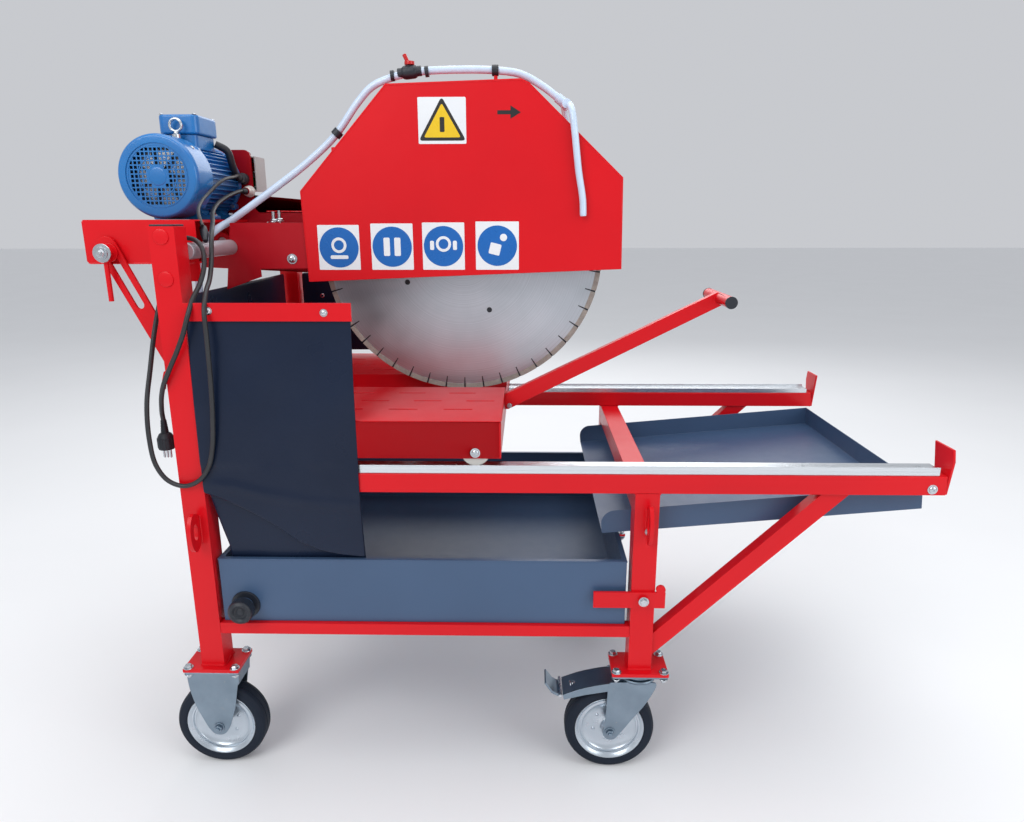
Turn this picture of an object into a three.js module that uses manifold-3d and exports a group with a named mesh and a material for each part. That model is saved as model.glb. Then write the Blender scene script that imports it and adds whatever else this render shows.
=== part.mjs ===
// Masonry saw: a wheeled frame with a sliding cutting cart, a tilting saw head with a belt-driven
// diamond blade, a water tank below and a drip tray in front. Millimetres, +Z up, +X along the rails
// towards the operator, +Y from the near side to the far side.
import * as THREE from "three";
import { mergeVertices } from "three/addons/utils/BufferGeometryUtils.js";
import Module from "manifold-3d";

const wasm = await Module();
wasm.setup();

// ---------------------------------------------------------------- driving dimensions
const GAP = 0.3; // clearance between touching pieces
const LEG = 50; // square tube of the legs
const WALL = 3; // tube wall
const DEPTH = 773; // outer face of the near legs to outer face of the far legs
const MID_Y = DEPTH / 2; // plane of the blade
const REAR_X = -935; // centre of the rear legs
const FRONT_X = 0; // centre of the front legs
const REAR_TOP = 1208;
const BASE_PLATE = { length: 122, depth: 84, bottom: 263, top: 271 };

const RAIL = { bottom: 679, top: 719, end: 598 };
const TRACK = { bottom: RAIL.top + GAP, top: 732, lip: 737, from: -909, to: 583, inset: 4 };
const LOWER = { bottom: 350, top: 376, width: 26 };
const TANK = { x0: -902, x1: -35, y0: 10, y1: 753, z0: 376.5, z1: 523, sheet: 2 };
const TRAY = { left: -85, right: 590, y0: 57, y1: 716, wall: 50, sheet: 2, tilt: 5.2, midZ: 574 };

const CART = { x0: -890, x1: -299, y0: 8, y1: 765, top: 829, bottom: 750, sheet: 3 };
const ROLLER = { r: 30, width: 20, x: [-838, -351] };
const WHEEL = { r: 100, width: 46, trail: 60, axleZ: 117 };

const PIVOT = { x: -916, z: 1160, r: 16.5 };
const SPINDLE = { x: -402, z: 1144, r: 15 };
const BLADE = { r: 334, thickness: 3.5, slots: 44, slotWidth: 3.2, slotDepth: 26, flangeR: 50 };
const GUARD = { y0: 268, y1: 497.7, sheet: 3 };
const ARM = { nearY: 271.3, farY: 498, plate: 6 };
const BEAM = { y: 100, width: 40, z0: 1134, z1: 1220, tail: -1141 };
const MOTOR = { x: -1040, z: 1310, r: 80, cowlR: 88, cowlY: 225, bodyY: 290, endY: 497.7 };
const COUNTER = { x: -1020, z: 1165 };
const PULLEY = { motor: 38, counterIn: 48, counterOut: 42, spindle: 60, flange: 4 };
const BELT = { motorY: 518, armY: 544, width: 12, thickness: 7 };
const CLAMP = { x: -1090, z: 1156 };
const LINK_PIN = { x: -945, z: 847 };
const LINK = { y: 90, thickness: 6, width: 42, slot: 16.5, slotLength: 116 };
const HOSE_R = 8;
const CORD_R = 4.75;

// ---------------------------------------------------------------- materials
const paint = (color, roughness, metalness) =>
  new THREE.MeshStandardMaterial({ color, roughness, metalness });
const RED = paint(0xd01018, 0.3, 0.1);
const ANTHRACITE = paint(0x3a4350, 0.45, 0.2);
const BLUE = paint(0x1260b0, 0.35, 0.1);
const RUBBER = paint(0x15181c, 0.5, 0);
const ZINC = paint(0xb8c0c4, 0.3, 0.9);
const STEEL = paint(0x9aa0a4, 0.3, 1);
const ALUMINIUM = paint(0xc8d2da, 0.35, 0.9);
const BLACK = paint(0x1c1d20, 0.5, 0);
const LIGHT_GREY = paint(0xc9cfcd, 0.5, 0);
const GREEN = paint(0x1c8a3c, 0.4, 0);
const HOSE = paint(0xd5dbe6, 0.4, 0);

// ---------------------------------------------------------------- helpers
/** A closed three.js geometry as a manifold solid with outward faces. */
function solid(geometry) {
  const bare = geometry.clone();
  bare.deleteAttribute("normal");
  bare.deleteAttribute("uv");
  const merged = mergeVertices(bare, 1e-3);
  const triVerts = new Uint32Array(merged.index.array);
  const vertProperties = merged.attributes.position.array;
  const made = new wasm.Manifold(new wasm.Mesh({ numProp: 3, vertProperties, triVerts }));
  if (made.volume() > 0) return made;
  for (let i = 0; i < triVerts.length; i += 3) {
    [triVerts[i + 1], triVerts[i + 2]] = [triVerts[i + 2], triVerts[i + 1]];
  }
  return new wasm.Manifold(new wasm.Mesh({ numProp: 3, vertProperties, triVerts }));
}

const join = (...parts) => parts.reduce((a, b) => a.add(b));
const cut = (body, ...tools) => tools.reduce((a, b) => a.subtract(b), body);

/** A box between two corners. */
function box(x0, y0, z0, x1, y1, z1) {
  const geometry = new THREE.BoxGeometry(x1 - x0, y1 - y0, z1 - z0);
  geometry.translate((x0 + x1) / 2, (y0 + y1) / 2, (z0 + z1) / 2);
  return solid(geometry);
}

/** A box tube between two corners, open at both ends of its axis (0 X, 1 Y, 2 Z). */
function boxTube(low, high, axis, wall = WALL) {
  const innerLow = low.map((v, i) => (i === axis ? v - 1 : v + wall));
  const innerHigh = high.map((v, i) => (i === axis ? v + 1 : v - wall));
  return cut(box(...low, ...high), box(...innerLow, ...innerHigh));
}

/** A round bar from one point to another. */
function rod(from, to, radius, sides = 20) {
  const a = new THREE.Vector3(...from);
  const b = new THREE.Vector3(...to);
  const along = b.clone().sub(a);
  const geometry = new THREE.CylinderGeometry(radius, radius, along.length(), sides);
  const turn = new THREE.Quaternion();
  turn.setFromUnitVectors(new THREE.Vector3(0, 1, 0), along.clone().normalize());
  geometry.applyQuaternion(turn);
  geometry.translate(...a.add(b).multiplyScalar(0.5).toArray());
  return solid(geometry);
}

/** A round bar along Y at (x, z). */
const rodY = (x, z, y0, y1, radius, sides = 20) => rod([x, y0, z], [x, y1, z], radius, sides);

const PLANES = {
  xy: [new THREE.Vector3(1, 0, 0), new THREE.Vector3(0, 1, 0), new THREE.Vector3(0, 0, 1)],
  xz: [new THREE.Vector3(1, 0, 0), new THREE.Vector3(0, 0, 1), new THREE.Vector3(0, -1, 0)],
  yz: [new THREE.Vector3(0, 1, 0), new THREE.Vector3(0, 0, 1), new THREE.Vector3(1, 0, 0)],
};

/** A plate with the given outline in a plane, from one level to another along its normal. */
function plate(plane, outline, from, to) {
  const shape = outline instanceof THREE.Shape ? outline : new THREE.Shape(
    outline.map(([u, v]) => new THREE.Vector2(u, v)),
  );
  const options = { depth: to - from, bevelEnabled: false, curveSegments: 8 };
  const geometry = new THREE.ExtrudeGeometry(shape, options);
  const level = plane === "xz" ? -to : from;
  geometry.translate(0, 0, level);
  geometry.applyMatrix4(new THREE.Matrix4().makeBasis(...PLANES[plane]));
  return solid(geometry);
}

/** A body turned about the Y axis through (x, z): profile points are [radius, y]. */
function turnedY(profile, x, z, sides = 24, startAngle = 0) {
  const points = profile.map(([r, y]) => new THREE.Vector2(r, y));
  const geometry = new THREE.LatheGeometry(points, sides, startAngle);
  geometry.translate(x, 0, z);
  return solid(geometry);
}

/** A round tube filled solid, along a smooth curve through the points. */
function alongCurve(points, radius, steps, sides = 8) {
  const circle = new THREE.Shape();
  circle.absarc(0, 0, radius, 0, Math.PI * 2);
  const path = new THREE.CatmullRomCurve3(points.map((p) => new THREE.Vector3(...p)));
  const section = new THREE.Shape(circle.getSpacedPoints(sides).slice(0, sides));
  const options = { steps, bevelEnabled: false, extrudePath: path };
  return solid(new THREE.ExtrudeGeometry(section, options));
}

/** An outline with a round end of the given radius round each of two points. */
function stadium(a, b, radiusA, radiusB = radiusA, arcPoints = 8) {
  const angle = Math.atan2(b[1] - a[1], b[0] - a[0]);
  const length = Math.hypot(b[0] - a[0], b[1] - a[1]);
  const lean = Math.asin((radiusA - radiusB) / length);
  const half = Math.PI / 2;
  const outline = [];
  for (let i = 0; i <= arcPoints; i++) {
    const t = angle + half - lean + ((Math.PI + 2 * lean) * i) / arcPoints;
    outline.push([a[0] + radiusA * Math.cos(t), a[1] + radiusA * Math.sin(t)]);
  }
  for (let i = 0; i <= arcPoints; i++) {
    const t = angle - half + lean + ((Math.PI - 2 * lean) * i) / arcPoints;
    outline.push([b[0] + radiusB * Math.cos(t), b[1] + radiusB * Math.sin(t)]);
  }
  return outline;
}

const saw = new THREE.Group();
saw.name = "masonry_saw";
const cordNames = new Set(["power_cord", "plug"]);

/** Adds one solid to the saw as a named mesh. */
function add(name, body, material) {
  const { vertProperties, triVerts } = body.getMesh();
  const geometry = new THREE.BufferGeometry();
  geometry.setAttribute("position", new THREE.BufferAttribute(vertProperties, 3));
  geometry.setIndex(new THREE.BufferAttribute(triVerts, 1));
  geometry.computeVertexNormals();
  const mesh = new THREE.Mesh(geometry, material);
  mesh.name = name;
  saw.add(mesh);
}

const SIDES = [
  { name: "near", y0: 0, out: -1 },
  { name: "far", y0: DEPTH - LEG, out: 1 },
];

// ---------------------------------------------------------------- legs
/** The square plate under a leg that the caster bolts to. */
function basePlate(x, y) {
  const halfX = BASE_PLATE.length / 2;
  const halfY = BASE_PLATE.depth / 2;
  return box(x - halfX, y - halfY, BASE_PLATE.bottom, x + halfX, y + halfY, BASE_PLATE.top);
}

/** A lifting eye standing out of the outer face of a leg. */
function liftingEye(x, faceY, out, z) {
  const reach = 21.5;
  const centre = [faceY + out * reach, z];
  const ring = new THREE.Shape();
  ring.absellipse(...centre, 24, 42, 0, Math.PI * 2);
  const hole = new THREE.Path();
  hole.absellipse(...centre, 9, 18, 0, Math.PI * 2);
  ring.holes.push(hole);
  return plate("yz", ring, x - 4, x + 4);
}

/** One leg tube with its base plate and lifting eye. */
function leg(x, side, top, eyeZ) {
  const low = [x - LEG / 2, side.y0, BASE_PLATE.top - 1];
  const high = [x + LEG / 2, side.y0 + LEG, top];
  const faceY = side.out < 0 ? side.y0 : side.y0 + LEG;
  return join(
    cut(boxTube(low, high, 2), box(-2000, -200, 0, 500, 1000, BASE_PLATE.top - 0.5)),
    basePlate(x, side.y0 + LEG / 2),
    liftingEye(x + 4, faceY, side.out, eyeZ),
  );
}

/** The sloping brace from a front leg up to the underside of the rail. */
function brace(side) {
  const y = side.y0 + LEG / 2;
  const half = 15;
  const foot = LEG / 2;
  const outline = [
    [foot - 0.5, 300],
    [foot - 0.5, 352],
    [357, RAIL.bottom - GAP],
    [413, RAIL.bottom - GAP],
  ];
  return plate("xz", outline, y - half, y + half);
}

const curtainBar = { x0: -910.5, x1: -585, y0: -2, y1: 3, z0: 1030, z1: 1065 };

for (const side of SIDES) {
  let rear = leg(REAR_X, side, REAR_TOP, 596);
  const innerY = side.out < 0 ? side.y0 + LEG : side.y0;
  if (side.out < 0) {
    const { x0, x1, y0, y1, z0, z1 } = curtainBar;
    rear = join(
      rear,
      box(x0, y0, z0, x1, y1, z1),
      rodY(LINK_PIN.x, LINK_PIN.z, innerY - 1, LINK.y + LINK.thickness + 5, 6),
    );
  }
  add(`rear_leg_${side.name}`, rear, RED);
  const bolt = { x: 5, z: 598, inner: side.out < 0 ? TRAY.y0 - GAP : TRAY.y1 + GAP };
  const outerY = side.out < 0 ? side.y0 - 5 : side.y0 + LEG + 5;
  const front = join(
    leg(FRONT_X, side, RAIL.bottom - GAP, 618),
    brace(side),
    rod([bolt.x, outerY, bolt.z], [bolt.x, bolt.inner, bolt.z], 5, 8),
  );
  add(`front_leg_${side.name}`, front, RED);
}

// ---------------------------------------------------------------- frame rails
for (const side of SIDES) {
  const y1 = side.y0 + LEG;
  const railStart = REAR_X + LEG / 2 + GAP;
  const rail = boxTube([railStart, side.y0, RAIL.bottom], [RAIL.end, y1, RAIL.top], 0);
  add(`side_rail_${side.name}`, rail, RED);

  const lipY = side.out < 0 ? side.y0 + TRACK.inset : y1 - TRACK.inset - 3;
  const track = join(
    box(TRACK.from, side.y0 + TRACK.inset, TRACK.bottom, TRACK.to, y1 - TRACK.inset, TRACK.top),
    box(TRACK.from, lipY, TRACK.bottom, TRACK.to, lipY + 3, TRACK.lip),
  );
  add(`track_${side.name}`, track, ALUMINIUM);

  const stopX = RAIL.end + GAP;
  const high = side.out < 0 ? [side.y0 - 8, 752] : [y1 + 8, 752];
  const low = side.out < 0 ? [y1 + 16, 776] : [side.y0 - 16, 776];
  const outline = [
    [side.y0 + 4, RAIL.bottom],
    [y1 - 4, RAIL.bottom],
    side.out < 0 ? [y1 + 4, 720] : high,
    side.out < 0 ? low : [y1 + 2, 776],
    side.out < 0 ? [side.y0 - 2, 776] : low,
    side.out < 0 ? high : [side.y0 - 4, 720],
  ];
  add(`end_stop_${side.name}`, plate("yz", outline, stopX, stopX + 5), RED);
}

/** An upside-down channel across the saw that carries the tank. */
function tankRunner(x0) {
  const y0 = LOWER.width - 1;
  const y1 = DEPTH - LOWER.width + 1;
  const outer = box(x0, y0, LOWER.bottom, x0 + LOWER.width, y1, LOWER.top);
  const inner = box(
    x0 + WALL, y0 + 4, LOWER.bottom - 1, x0 + LOWER.width - WALL, y1 - 4, LOWER.top - WALL,
  );
  return cut(outer, inner);
}
{
  const x0 = REAR_X + LEG / 2 + GAP;
  const x1 = FRONT_X - LEG / 2 - GAP;
  const w = LOWER.width;
  add(
    "lower_frame",
    join(
      boxTube([x0, 0, LOWER.bottom], [x1, w, LOWER.top], 0, 2.5),
      boxTube([x0, DEPTH - w, LOWER.bottom], [x1, DEPTH, LOWER.top], 0, 2.5),
      tankRunner(x0 + 30),
      tankRunner(x1 - 30 - w),
    ),
    RED,
  );
  const low = [FRONT_X - LEG / 2, LEG + GAP, RAIL.bottom - LEG - GAP];
  const high = [FRONT_X + LEG / 2, DEPTH - LEG - GAP, RAIL.bottom - GAP];
  add("front_crossbar", boxTube(low, high, 1), RED);
}

// ---------------------------------------------------------------- splash curtains
{
  const t = 1.5;
  const line = [[4.8, 1064], [4.8, 1026], [-3.6, 722], [-3.6, 672], [25, 523], [29, 504]];
  const outline = [
    ...line.map(([y, z]) => [y - t, z]),
    ...line.map(([y, z]) => [y + t, z]).reverse(),
  ];
  const hanging = plate("yz", outline, -909, -588);
  const taper = plate("xz", [[-915, 490], [-881, 490], [-881, 548], [-909, 690], [-915, 690]], -20, 40);
  add("curtain_near", cut(hanging, taper), RUBBER);

  const rear = [
    [-948, 104],
    [-945, 104],
    [-945, 715],
    [-906, 715],
    [-906, 754],
    [-585, 754],
    [-585, 757],
    [-909, 757],
    [-909, 718],
    [-948, 718],
  ];
  const sheet = plate("xy", rear, 565, 1070);
  const railRoom = box(-911, 714, RAIL.bottom - 5, -500, 760, 742);
  const cartRoom = box(-905, 700, 560, -500, 800, 835);
  add("curtain_rear", cut(sheet, railRoom, cartRoom), RUBBER);
}

// ---------------------------------------------------------------- tank, drain, latch and pump
{
  const { x0, x1, y0, y1, z0, z1, sheet } = TANK;
  const drain = { x: -852, z: 416 };
  const shell = cut(
    box(x0, y0, z0, x1, y1, z1),
    box(x0 + sheet, y0 + sheet, z0 + sheet, x1 - sheet, y1 - sheet, z1 + 1),
  );
  const spout = rodY(drain.x, drain.z, -11, y0 + 1, 18);
  const bore = rodY(drain.x, drain.z, -12, y0 + 5, 14);
  add("tank", cut(join(shell, spout), bore), ANTHRACITE);
  const cap = cut(
    rodY(drain.x, drain.z, -34, -6, 26, 24),
    rodY(drain.x, drain.z, -11 - GAP, 0, 18.6),
  );
  add("drain_plug", cap, BLACK);

  const bar = box(-105, -6.3, 424, 46, -GAP, 460);
  const tab = rodY(36, 466, -6.3, -GAP, 10, 16);
  const bolt = rodY(FRONT_X, 442, -12, -6, 9, 12);
  add("tank_latch", join(bar, tab, bolt), RED);

  const pump = { x: -842, y: 262, z: TANK.z0 + sheet + GAP };
  const riser = [
    [pump.x, pump.y, 478],
    [pump.x, pump.y, 500],
    [pump.x - 12, pump.y, 528],
    [-882, pump.y, 545],
    [-925, pump.y, 546],
    [-965, pump.y, 556],
    [-990, pump.y, 592],
    [-994, pump.y, 660],
    [-994, pump.y, 800],
    [-994, pump.y, 960],
    [-992, pump.y, 1070],
    [-984, pump.y, 1136],
  ];
  const body = join(
    rod([pump.x, pump.y, pump.z], [pump.x, pump.y, 462], 48, 16),
    rod([pump.x, pump.y, 461], [pump.x, pump.y, 482], 22, 16),
    alongCurve(riser, HOSE_R, 30),
  );
  add("water_pump", body, BLACK);
}

// ---------------------------------------------------------------- drip tray
{
  const { left, right, y0, y1, wall, sheet, tilt, midZ } = TRAY;
  const turn = -tilt;
  const floor = box(left, y0, 0, right, y1, sheet);
  const sideWall = (y) => {
    const shape = new THREE.Shape();
    shape.moveTo(left, 0);
    shape.lineTo(right, 0);
    shape.lineTo(right, wall);
    shape.lineTo(left + 30, wall);
    shape.absarc(left + 30, wall - 30, 30, Math.PI / 2, Math.PI);
    return plate("xz", shape, y, y + sheet);
  };
  const end = box(right - sheet, y0, 0, right, y1, wall);
  const flat = join(floor, sideWall(y0), sideWall(y1 - sheet), end);
  add("catch_tray", flat.rotate([0, turn, 0]).translate([0, 0, midZ]), ANTHRACITE);
}

// ---------------------------------------------------------------- casters
const AXLE = { r: 6, z: WHEEL.axleZ };

/** One wheel: rubber tyre on a pressed rim with a bored hub. */
function wheel(x, y) {
  const sides = 24;
  const scale = 1 / Math.cos(Math.PI / sides);
  const half = WHEEL.width / 2;
  const profile = [
    [6.8, -27],
    [18, -27],
    [20, -7],
    [66, -7],
    [77, -half],
    [92, -half],
    [WHEEL.r, -half + 10],
    [WHEEL.r, half - 10],
    [92, half],
    [77, half],
    [66, 7],
    [20, 7],
    [18, 27],
    [6.8, 27],
    [6.8, -27],
  ];
  const scaled = profile.map(([r, v]) => [r * scale, y + v]);
  return turnedY(scaled, x, AXLE.z, sides, Math.PI / sides);
}

/** Two fork cheeks of one outline, with the axle bolt between them. */
function cheeks(outline, axleX, y) {
  const inner = 29;
  const outer = 33;
  return [
    plate("xz", outline, y - outer, y - inner),
    plate("xz", outline, y + inner, y + outer),
    rodY(axleX, AXLE.z, y - outer - 5, y + outer + 5, AXLE.r),
    rodY(axleX, AXLE.z, y - outer - 8, y - outer + 1, 10, 6),
    rodY(axleX, AXLE.z, y + outer - 1, y + outer + 8, 10, 6),
  ];
}

const forkTop = BASE_PLATE.bottom - GAP;
for (const side of SIDES) {
  const y = side.y0 + LEG / 2;
  const x = REAR_X;
  const fixed = [
    [x - 60, forkTop],
    [x - 57, 215],
    [x - 47, 170],
    [x - 24, 115],
    [x - 12, 97],
    [x + 12, 97],
    [x + 24, 115],
    [x + 42, 170],
    [x + 55, 236],
    [x + 60, forkTop],
  ];
  add(
    `rear_fork_${side.name}`,
    join(box(x - 61, y - 42, forkTop - 5, x + 61, y + 42, forkTop), ...cheeks(fixed, x, y)),
    ZINC,
  );
  add(`rear_wheel_${side.name}`, wheel(x, y), RUBBER);

  const axleX = FRONT_X - WHEEL.trail;
  const swivel = [
    [-67, 244],
    [40, 244],
    [33, 222],
    [13, 185],
    [-11, 153],
    [-36, 116],
    [axleX + 10, 98],
    [axleX - 4, 97],
    [axleX - 16, 108],
    [axleX - 14, 125],
    [axleX - 10, 164],
  ];
  const bridgeTop = [[-20, 248], [-72, 242], [-124, 230], [-168, 213]];
  const bridgeLow = [[-164, 199], [-118, 211], [-70, 220], [-20, 226]];
  const bridge = cut(
    plate("xz", [...bridgeTop, ...bridgeLow], y - 33, y + 33),
    plate(
      "xz",
      [...bridgeTop.map(([u, v]) => [u, v - 4]), [-180, 180], [0, 180]],
      y - 29,
      y + 29,
    ),
  );
  const race = rod([FRONT_X, y, 240], [FRONT_X, y, forkTop], 41, 24);
  add(`front_fork_${side.name}`, join(race, bridge, ...cheeks(swivel, axleX, y)), ZINC);
  add(`front_wheel_${side.name}`, wheel(axleX, y), RUBBER);

  const pedal = [
    [-170.5, 208],
    [-177, 203],
    [-191, 211],
    [-206, 234],
    [-202.5, 236.5],
    [-188, 216],
    [-177, 209.5],
    [-170, 212],
  ];
  add(`brake_pedal_${side.name}`, plate("xz", pedal, y - 26, y + 26), ZINC);
}

// ---------------------------------------------------------------- cart
{
  const { x0, x1, y0, y1, top, bottom, sheet } = CART;
  const bladeGap = { y0: MID_Y - 74, y1: MID_Y + 74, floor: 800 };
  let table = cut(
    box(x0, y0, bottom, x1, y1, top),
    box(x0 + sheet, y0 + sheet, bottom - 1, x1 - sheet, y1 - sheet, top - sheet),
  );
  const beamTop = 784;
  const crossMembers = [-700, -520].map((x) => box(x, y0 + 1, bottom + 4, x + 30, y1 - 1, beamTop));
  const flanges = [bladeGap.y0 - sheet, bladeGap.y1].map((y) =>
    box(x0 + 1, y, beamTop - 6, x1 - 1, y + sheet, top - 1),
  );
  table = join(table, ...crossMembers, ...flanges);
  table = cut(
    table,
    box(x0 - 1, bladeGap.y0, bladeGap.floor, x1 + 1, bladeGap.y1, top + 1),
  );
  // drain slots in staggered rows on both sides of the gap
  const slot = { length: 63, width: 6, pitch: 117 };
  const rows = [
    { y: 102, x: -425 },
    { y: 176, x: -382 },
    { y: 251, x: -428 },
  ];
  const drains = [];
  for (const row of rows) {
    for (let x = row.x; x > x0 + 20; x -= slot.pitch) {
      for (const y of [row.y, DEPTH - row.y]) {
        const half = slot.width / 2;
        drains.push(box(x, y - half, top - sheet - 1, x + slot.length, y + half, top + 1));
      }
    }
  }
  table = cut(table, ...drains);
  // roller bolts through the skirts
  const scale = 1 / Math.cos(Math.PI / 24);
  const axleZ = TRACK.top + ROLLER.r * scale + GAP;
  const bolts = [];
  for (const x of ROLLER.x) {
    bolts.push(rodY(x, axleZ, y0 - 4, y0 + 34, 6), rodY(x, axleZ, y1 - 34, y1 + 4, 6));
    bolts.push(rodY(x, axleZ, y0 - 5, y0 + 1, 11, 12), rodY(x, axleZ, y1 - 1, y1 + 5, 11, 12));
  }
  add("cart_table", join(table, ...bolts), RED);

  ROLLER.x.forEach((x, i) => {
    for (const side of SIDES) {
      const y = side.out < 0 ? y0 + 18 : y1 - 18;
      const half = ROLLER.width / 2;
      const profile = [
        [6.6, -half],
        [ROLLER.r, -half],
        [ROLLER.r, half],
        [6.6, half],
        [6.6, -half],
      ];
      const scaled = profile.map(([r, v]) => [r * scale, y + v]);
      const end = i === 0 ? "rear" : "front";
      add(`roller_${end}_${side.name}`, turnedY(scaled, x, axleZ, 24, Math.PI / 24), LIGHT_GREY);
    }
  });

  const handle = { y: 290, endX: 192, endZ: 1045, baseZ: 802 };
  const baseX = x1 + GAP;
  const bar = [
    [baseX, handle.baseZ - 19],
    [baseX + 8, handle.baseZ - 19],
    [handle.endX + 8, handle.endZ - 14],
    [handle.endX - 6, handle.endZ + 14],
    [baseX + 2, handle.baseZ + 18],
    [baseX, handle.baseZ + 17],
  ];
  add(
    "cart_handle",
    join(
      plate("xz", bar, handle.y - 10, handle.y + 10),
      rodY(handle.endX, handle.endZ, handle.y - 100, handle.y + 100, 13),
    ),
    RED,
  );
}

// ---------------------------------------------------------------- saw head structure
const shaftHole = (y0, y1) => rodY(PIVOT.x, PIVOT.z, y0, y1, PIVOT.r + GAP + 0.1, 24);
add(
  "pivot_shaft",
  rodY(PIVOT.x, PIVOT.z, LEG + GAP, DEPTH - LEG - GAP, PIVOT.r, 24),
  ZINC,
);
{
  const { y, width, z0, z1, tail } = BEAM;
  const farY = DEPTH - y - width;
  const beam = (y0) =>
    join(
      boxTube([tail, y0, z0], [PIVOT.x + 2, y0 + width, z1], 0),
      box(PIVOT.x - 30, y0, 1098, PIVOT.x + 2, y0 + 6, z0 + 1),
    );
  const crossTube = cut(
    box(tail, y + 1, z0 + 10, tail + 50, farY + width - 1, z1 - 10),
    box(tail - 1, y + width + 3, z0 + 14, tail + 46, farY - 3, z1 - 14),
  );
  const stud = rodY(CLAMP.x, CLAMP.z, 62, y + 1, 5);
  const motorPlate = box(-1125, y + width - 1, z1 - 6, -955, ARM.farY - GAP, z1);
  const frame = cut(join(beam(y), beam(farY), crossTube, motorPlate), shaftHole(0, DEPTH));
  add("head_frame", join(frame, stud), RED);

  const hub = cut(
    join(
      rodY(CLAMP.x, CLAMP.z, 85.4, 88.6, 19, 24),
      rodY(CLAMP.x, CLAMP.z, 66, 86, 11, 12),
      rod([CLAMP.x, 75, CLAMP.z - 8], [CLAMP.x, 75, CLAMP.z - 96], 5, 12),
    ),
    rodY(CLAMP.x, CLAMP.z, 60, 92, 5.5),
  );
  add("clamp_handle", hub, RED);

  const dx = CLAMP.x - LINK_PIN.x;
  const dz = CLAMP.z - LINK_PIN.z;
  const length = Math.hypot(dx, dz);
  const at = (s) => [LINK_PIN.x + (dx * s) / length, LINK_PIN.z + (dz * s) / length];
  const y0 = LINK.y;
  const y1 = LINK.y + LINK.thickness;
  const slotTop = at(length + 2);
  const link = cut(
    plate("xz", stadium(at(0), at(length + 12), 18, LINK.width / 2), y0, y1),
    plate("xz", stadium(at(length - LINK.slotLength), slotTop, LINK.slot / 2), y0 - 1, y1 + 1),
    rodY(LINK_PIN.x, LINK_PIN.z, y0 - 1, y1 + 1, 6.6),
  );
  add("slotted_link", link, RED);
}

/** The swinging arm: near side plate, L-shaped far plate and the web between them. */
{
  const { nearY, farY, plate: t } = ARM;
  const nearOutline = [
    [-932, 1066],
    [-851, 1094],
    [-852, 1112],
    [-640, 1114],
    [-640, 1207],
    [-912, 1207],
  ];
  const far = new THREE.Shape();
  far.moveTo(-1086, 1103);
  far.lineTo(-330, 1072);
  far.lineTo(-330, 1205);
  far.lineTo(-360, 1234);
  far.lineTo(-921, 1237);
  far.absarc(-921, 1251, 14, -Math.PI / 2, Math.PI, true);
  far.lineTo(-935, 1371);
  far.absarc(-951, 1371, 16, 0, Math.PI / 2);
  far.lineTo(-1104, 1387);
  far.absarc(-1104, 1371, 16, Math.PI / 2, Math.PI);
  far.lineTo(-1120, 1224);
  far.lineTo(-1086, 1216);
  const gland = { x: -943, z: 1288 };
  const body = join(
    plate("xz", nearOutline, nearY, nearY + 5),
    box(-912, nearY, 1206, -640, nearY + 26, 1213),
    box(-880, nearY + 4, 1112, -872, farY + 1, 1210),
    plate("xz", far, farY, farY + t),
    rodY(gland.x, gland.z, farY - 29.5, farY + 1, 9, 12),
    rodY(COUNTER.x, COUNTER.z, farY - 16, farY + 1, 24),
  );
  add(
    "swing_arm",
    cut(
      body,
      shaftHole(nearY - 1, farY + t + 1),
      rodY(MOTOR.x, MOTOR.z, farY - 1, farY + t + 1, 30, 24),
      rodY(COUNTER.x, COUNTER.z, farY - 17, farY + t + 1, 12.9, 24),
      rodY(SPINDLE.x, SPINDLE.z, farY - 1, farY + t + 1, 30, 24),
    ),
    RED,
  );
}

// ---------------------------------------------------------------- blade guard
const guardOutline = [
  [-742, 1083],
  [-748, 1280],
  [-550, 1498],
  [-262, 1507],
  [-244, 1499],
  [-39, 1307],
  [-36, 1111],
];
{
  const { y0, y1, sheet } = GUARD;
  const inner = [
    [-800, 990],
    [-800, 1240],
    [-744, 1240],
    [-745.6, 1278.6],
    [-548.6, 1495],
    [-263, 1504],
    [-246, 1496.5],
    [-42, 1305.5],
    [-39, 990],
  ];
  const shell = cut(
    plate("xz", guardOutline, y0, y1),
    plate("xz", inner, y0 + sheet, y1 - sheet),
    rodY(SPINDLE.x, SPINDLE.z, y1 - sheet - 1, y1 + 1, 50, 24),
  );
  const hoseClips = [
    box(-680, 296, 1352, -672, 304, 1374),
    box(-320, 296, 1500, -312, 304, 1519.5),
  ];
  add("blade_guard", join(shell, ...hoseClips), RED);
}

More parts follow.
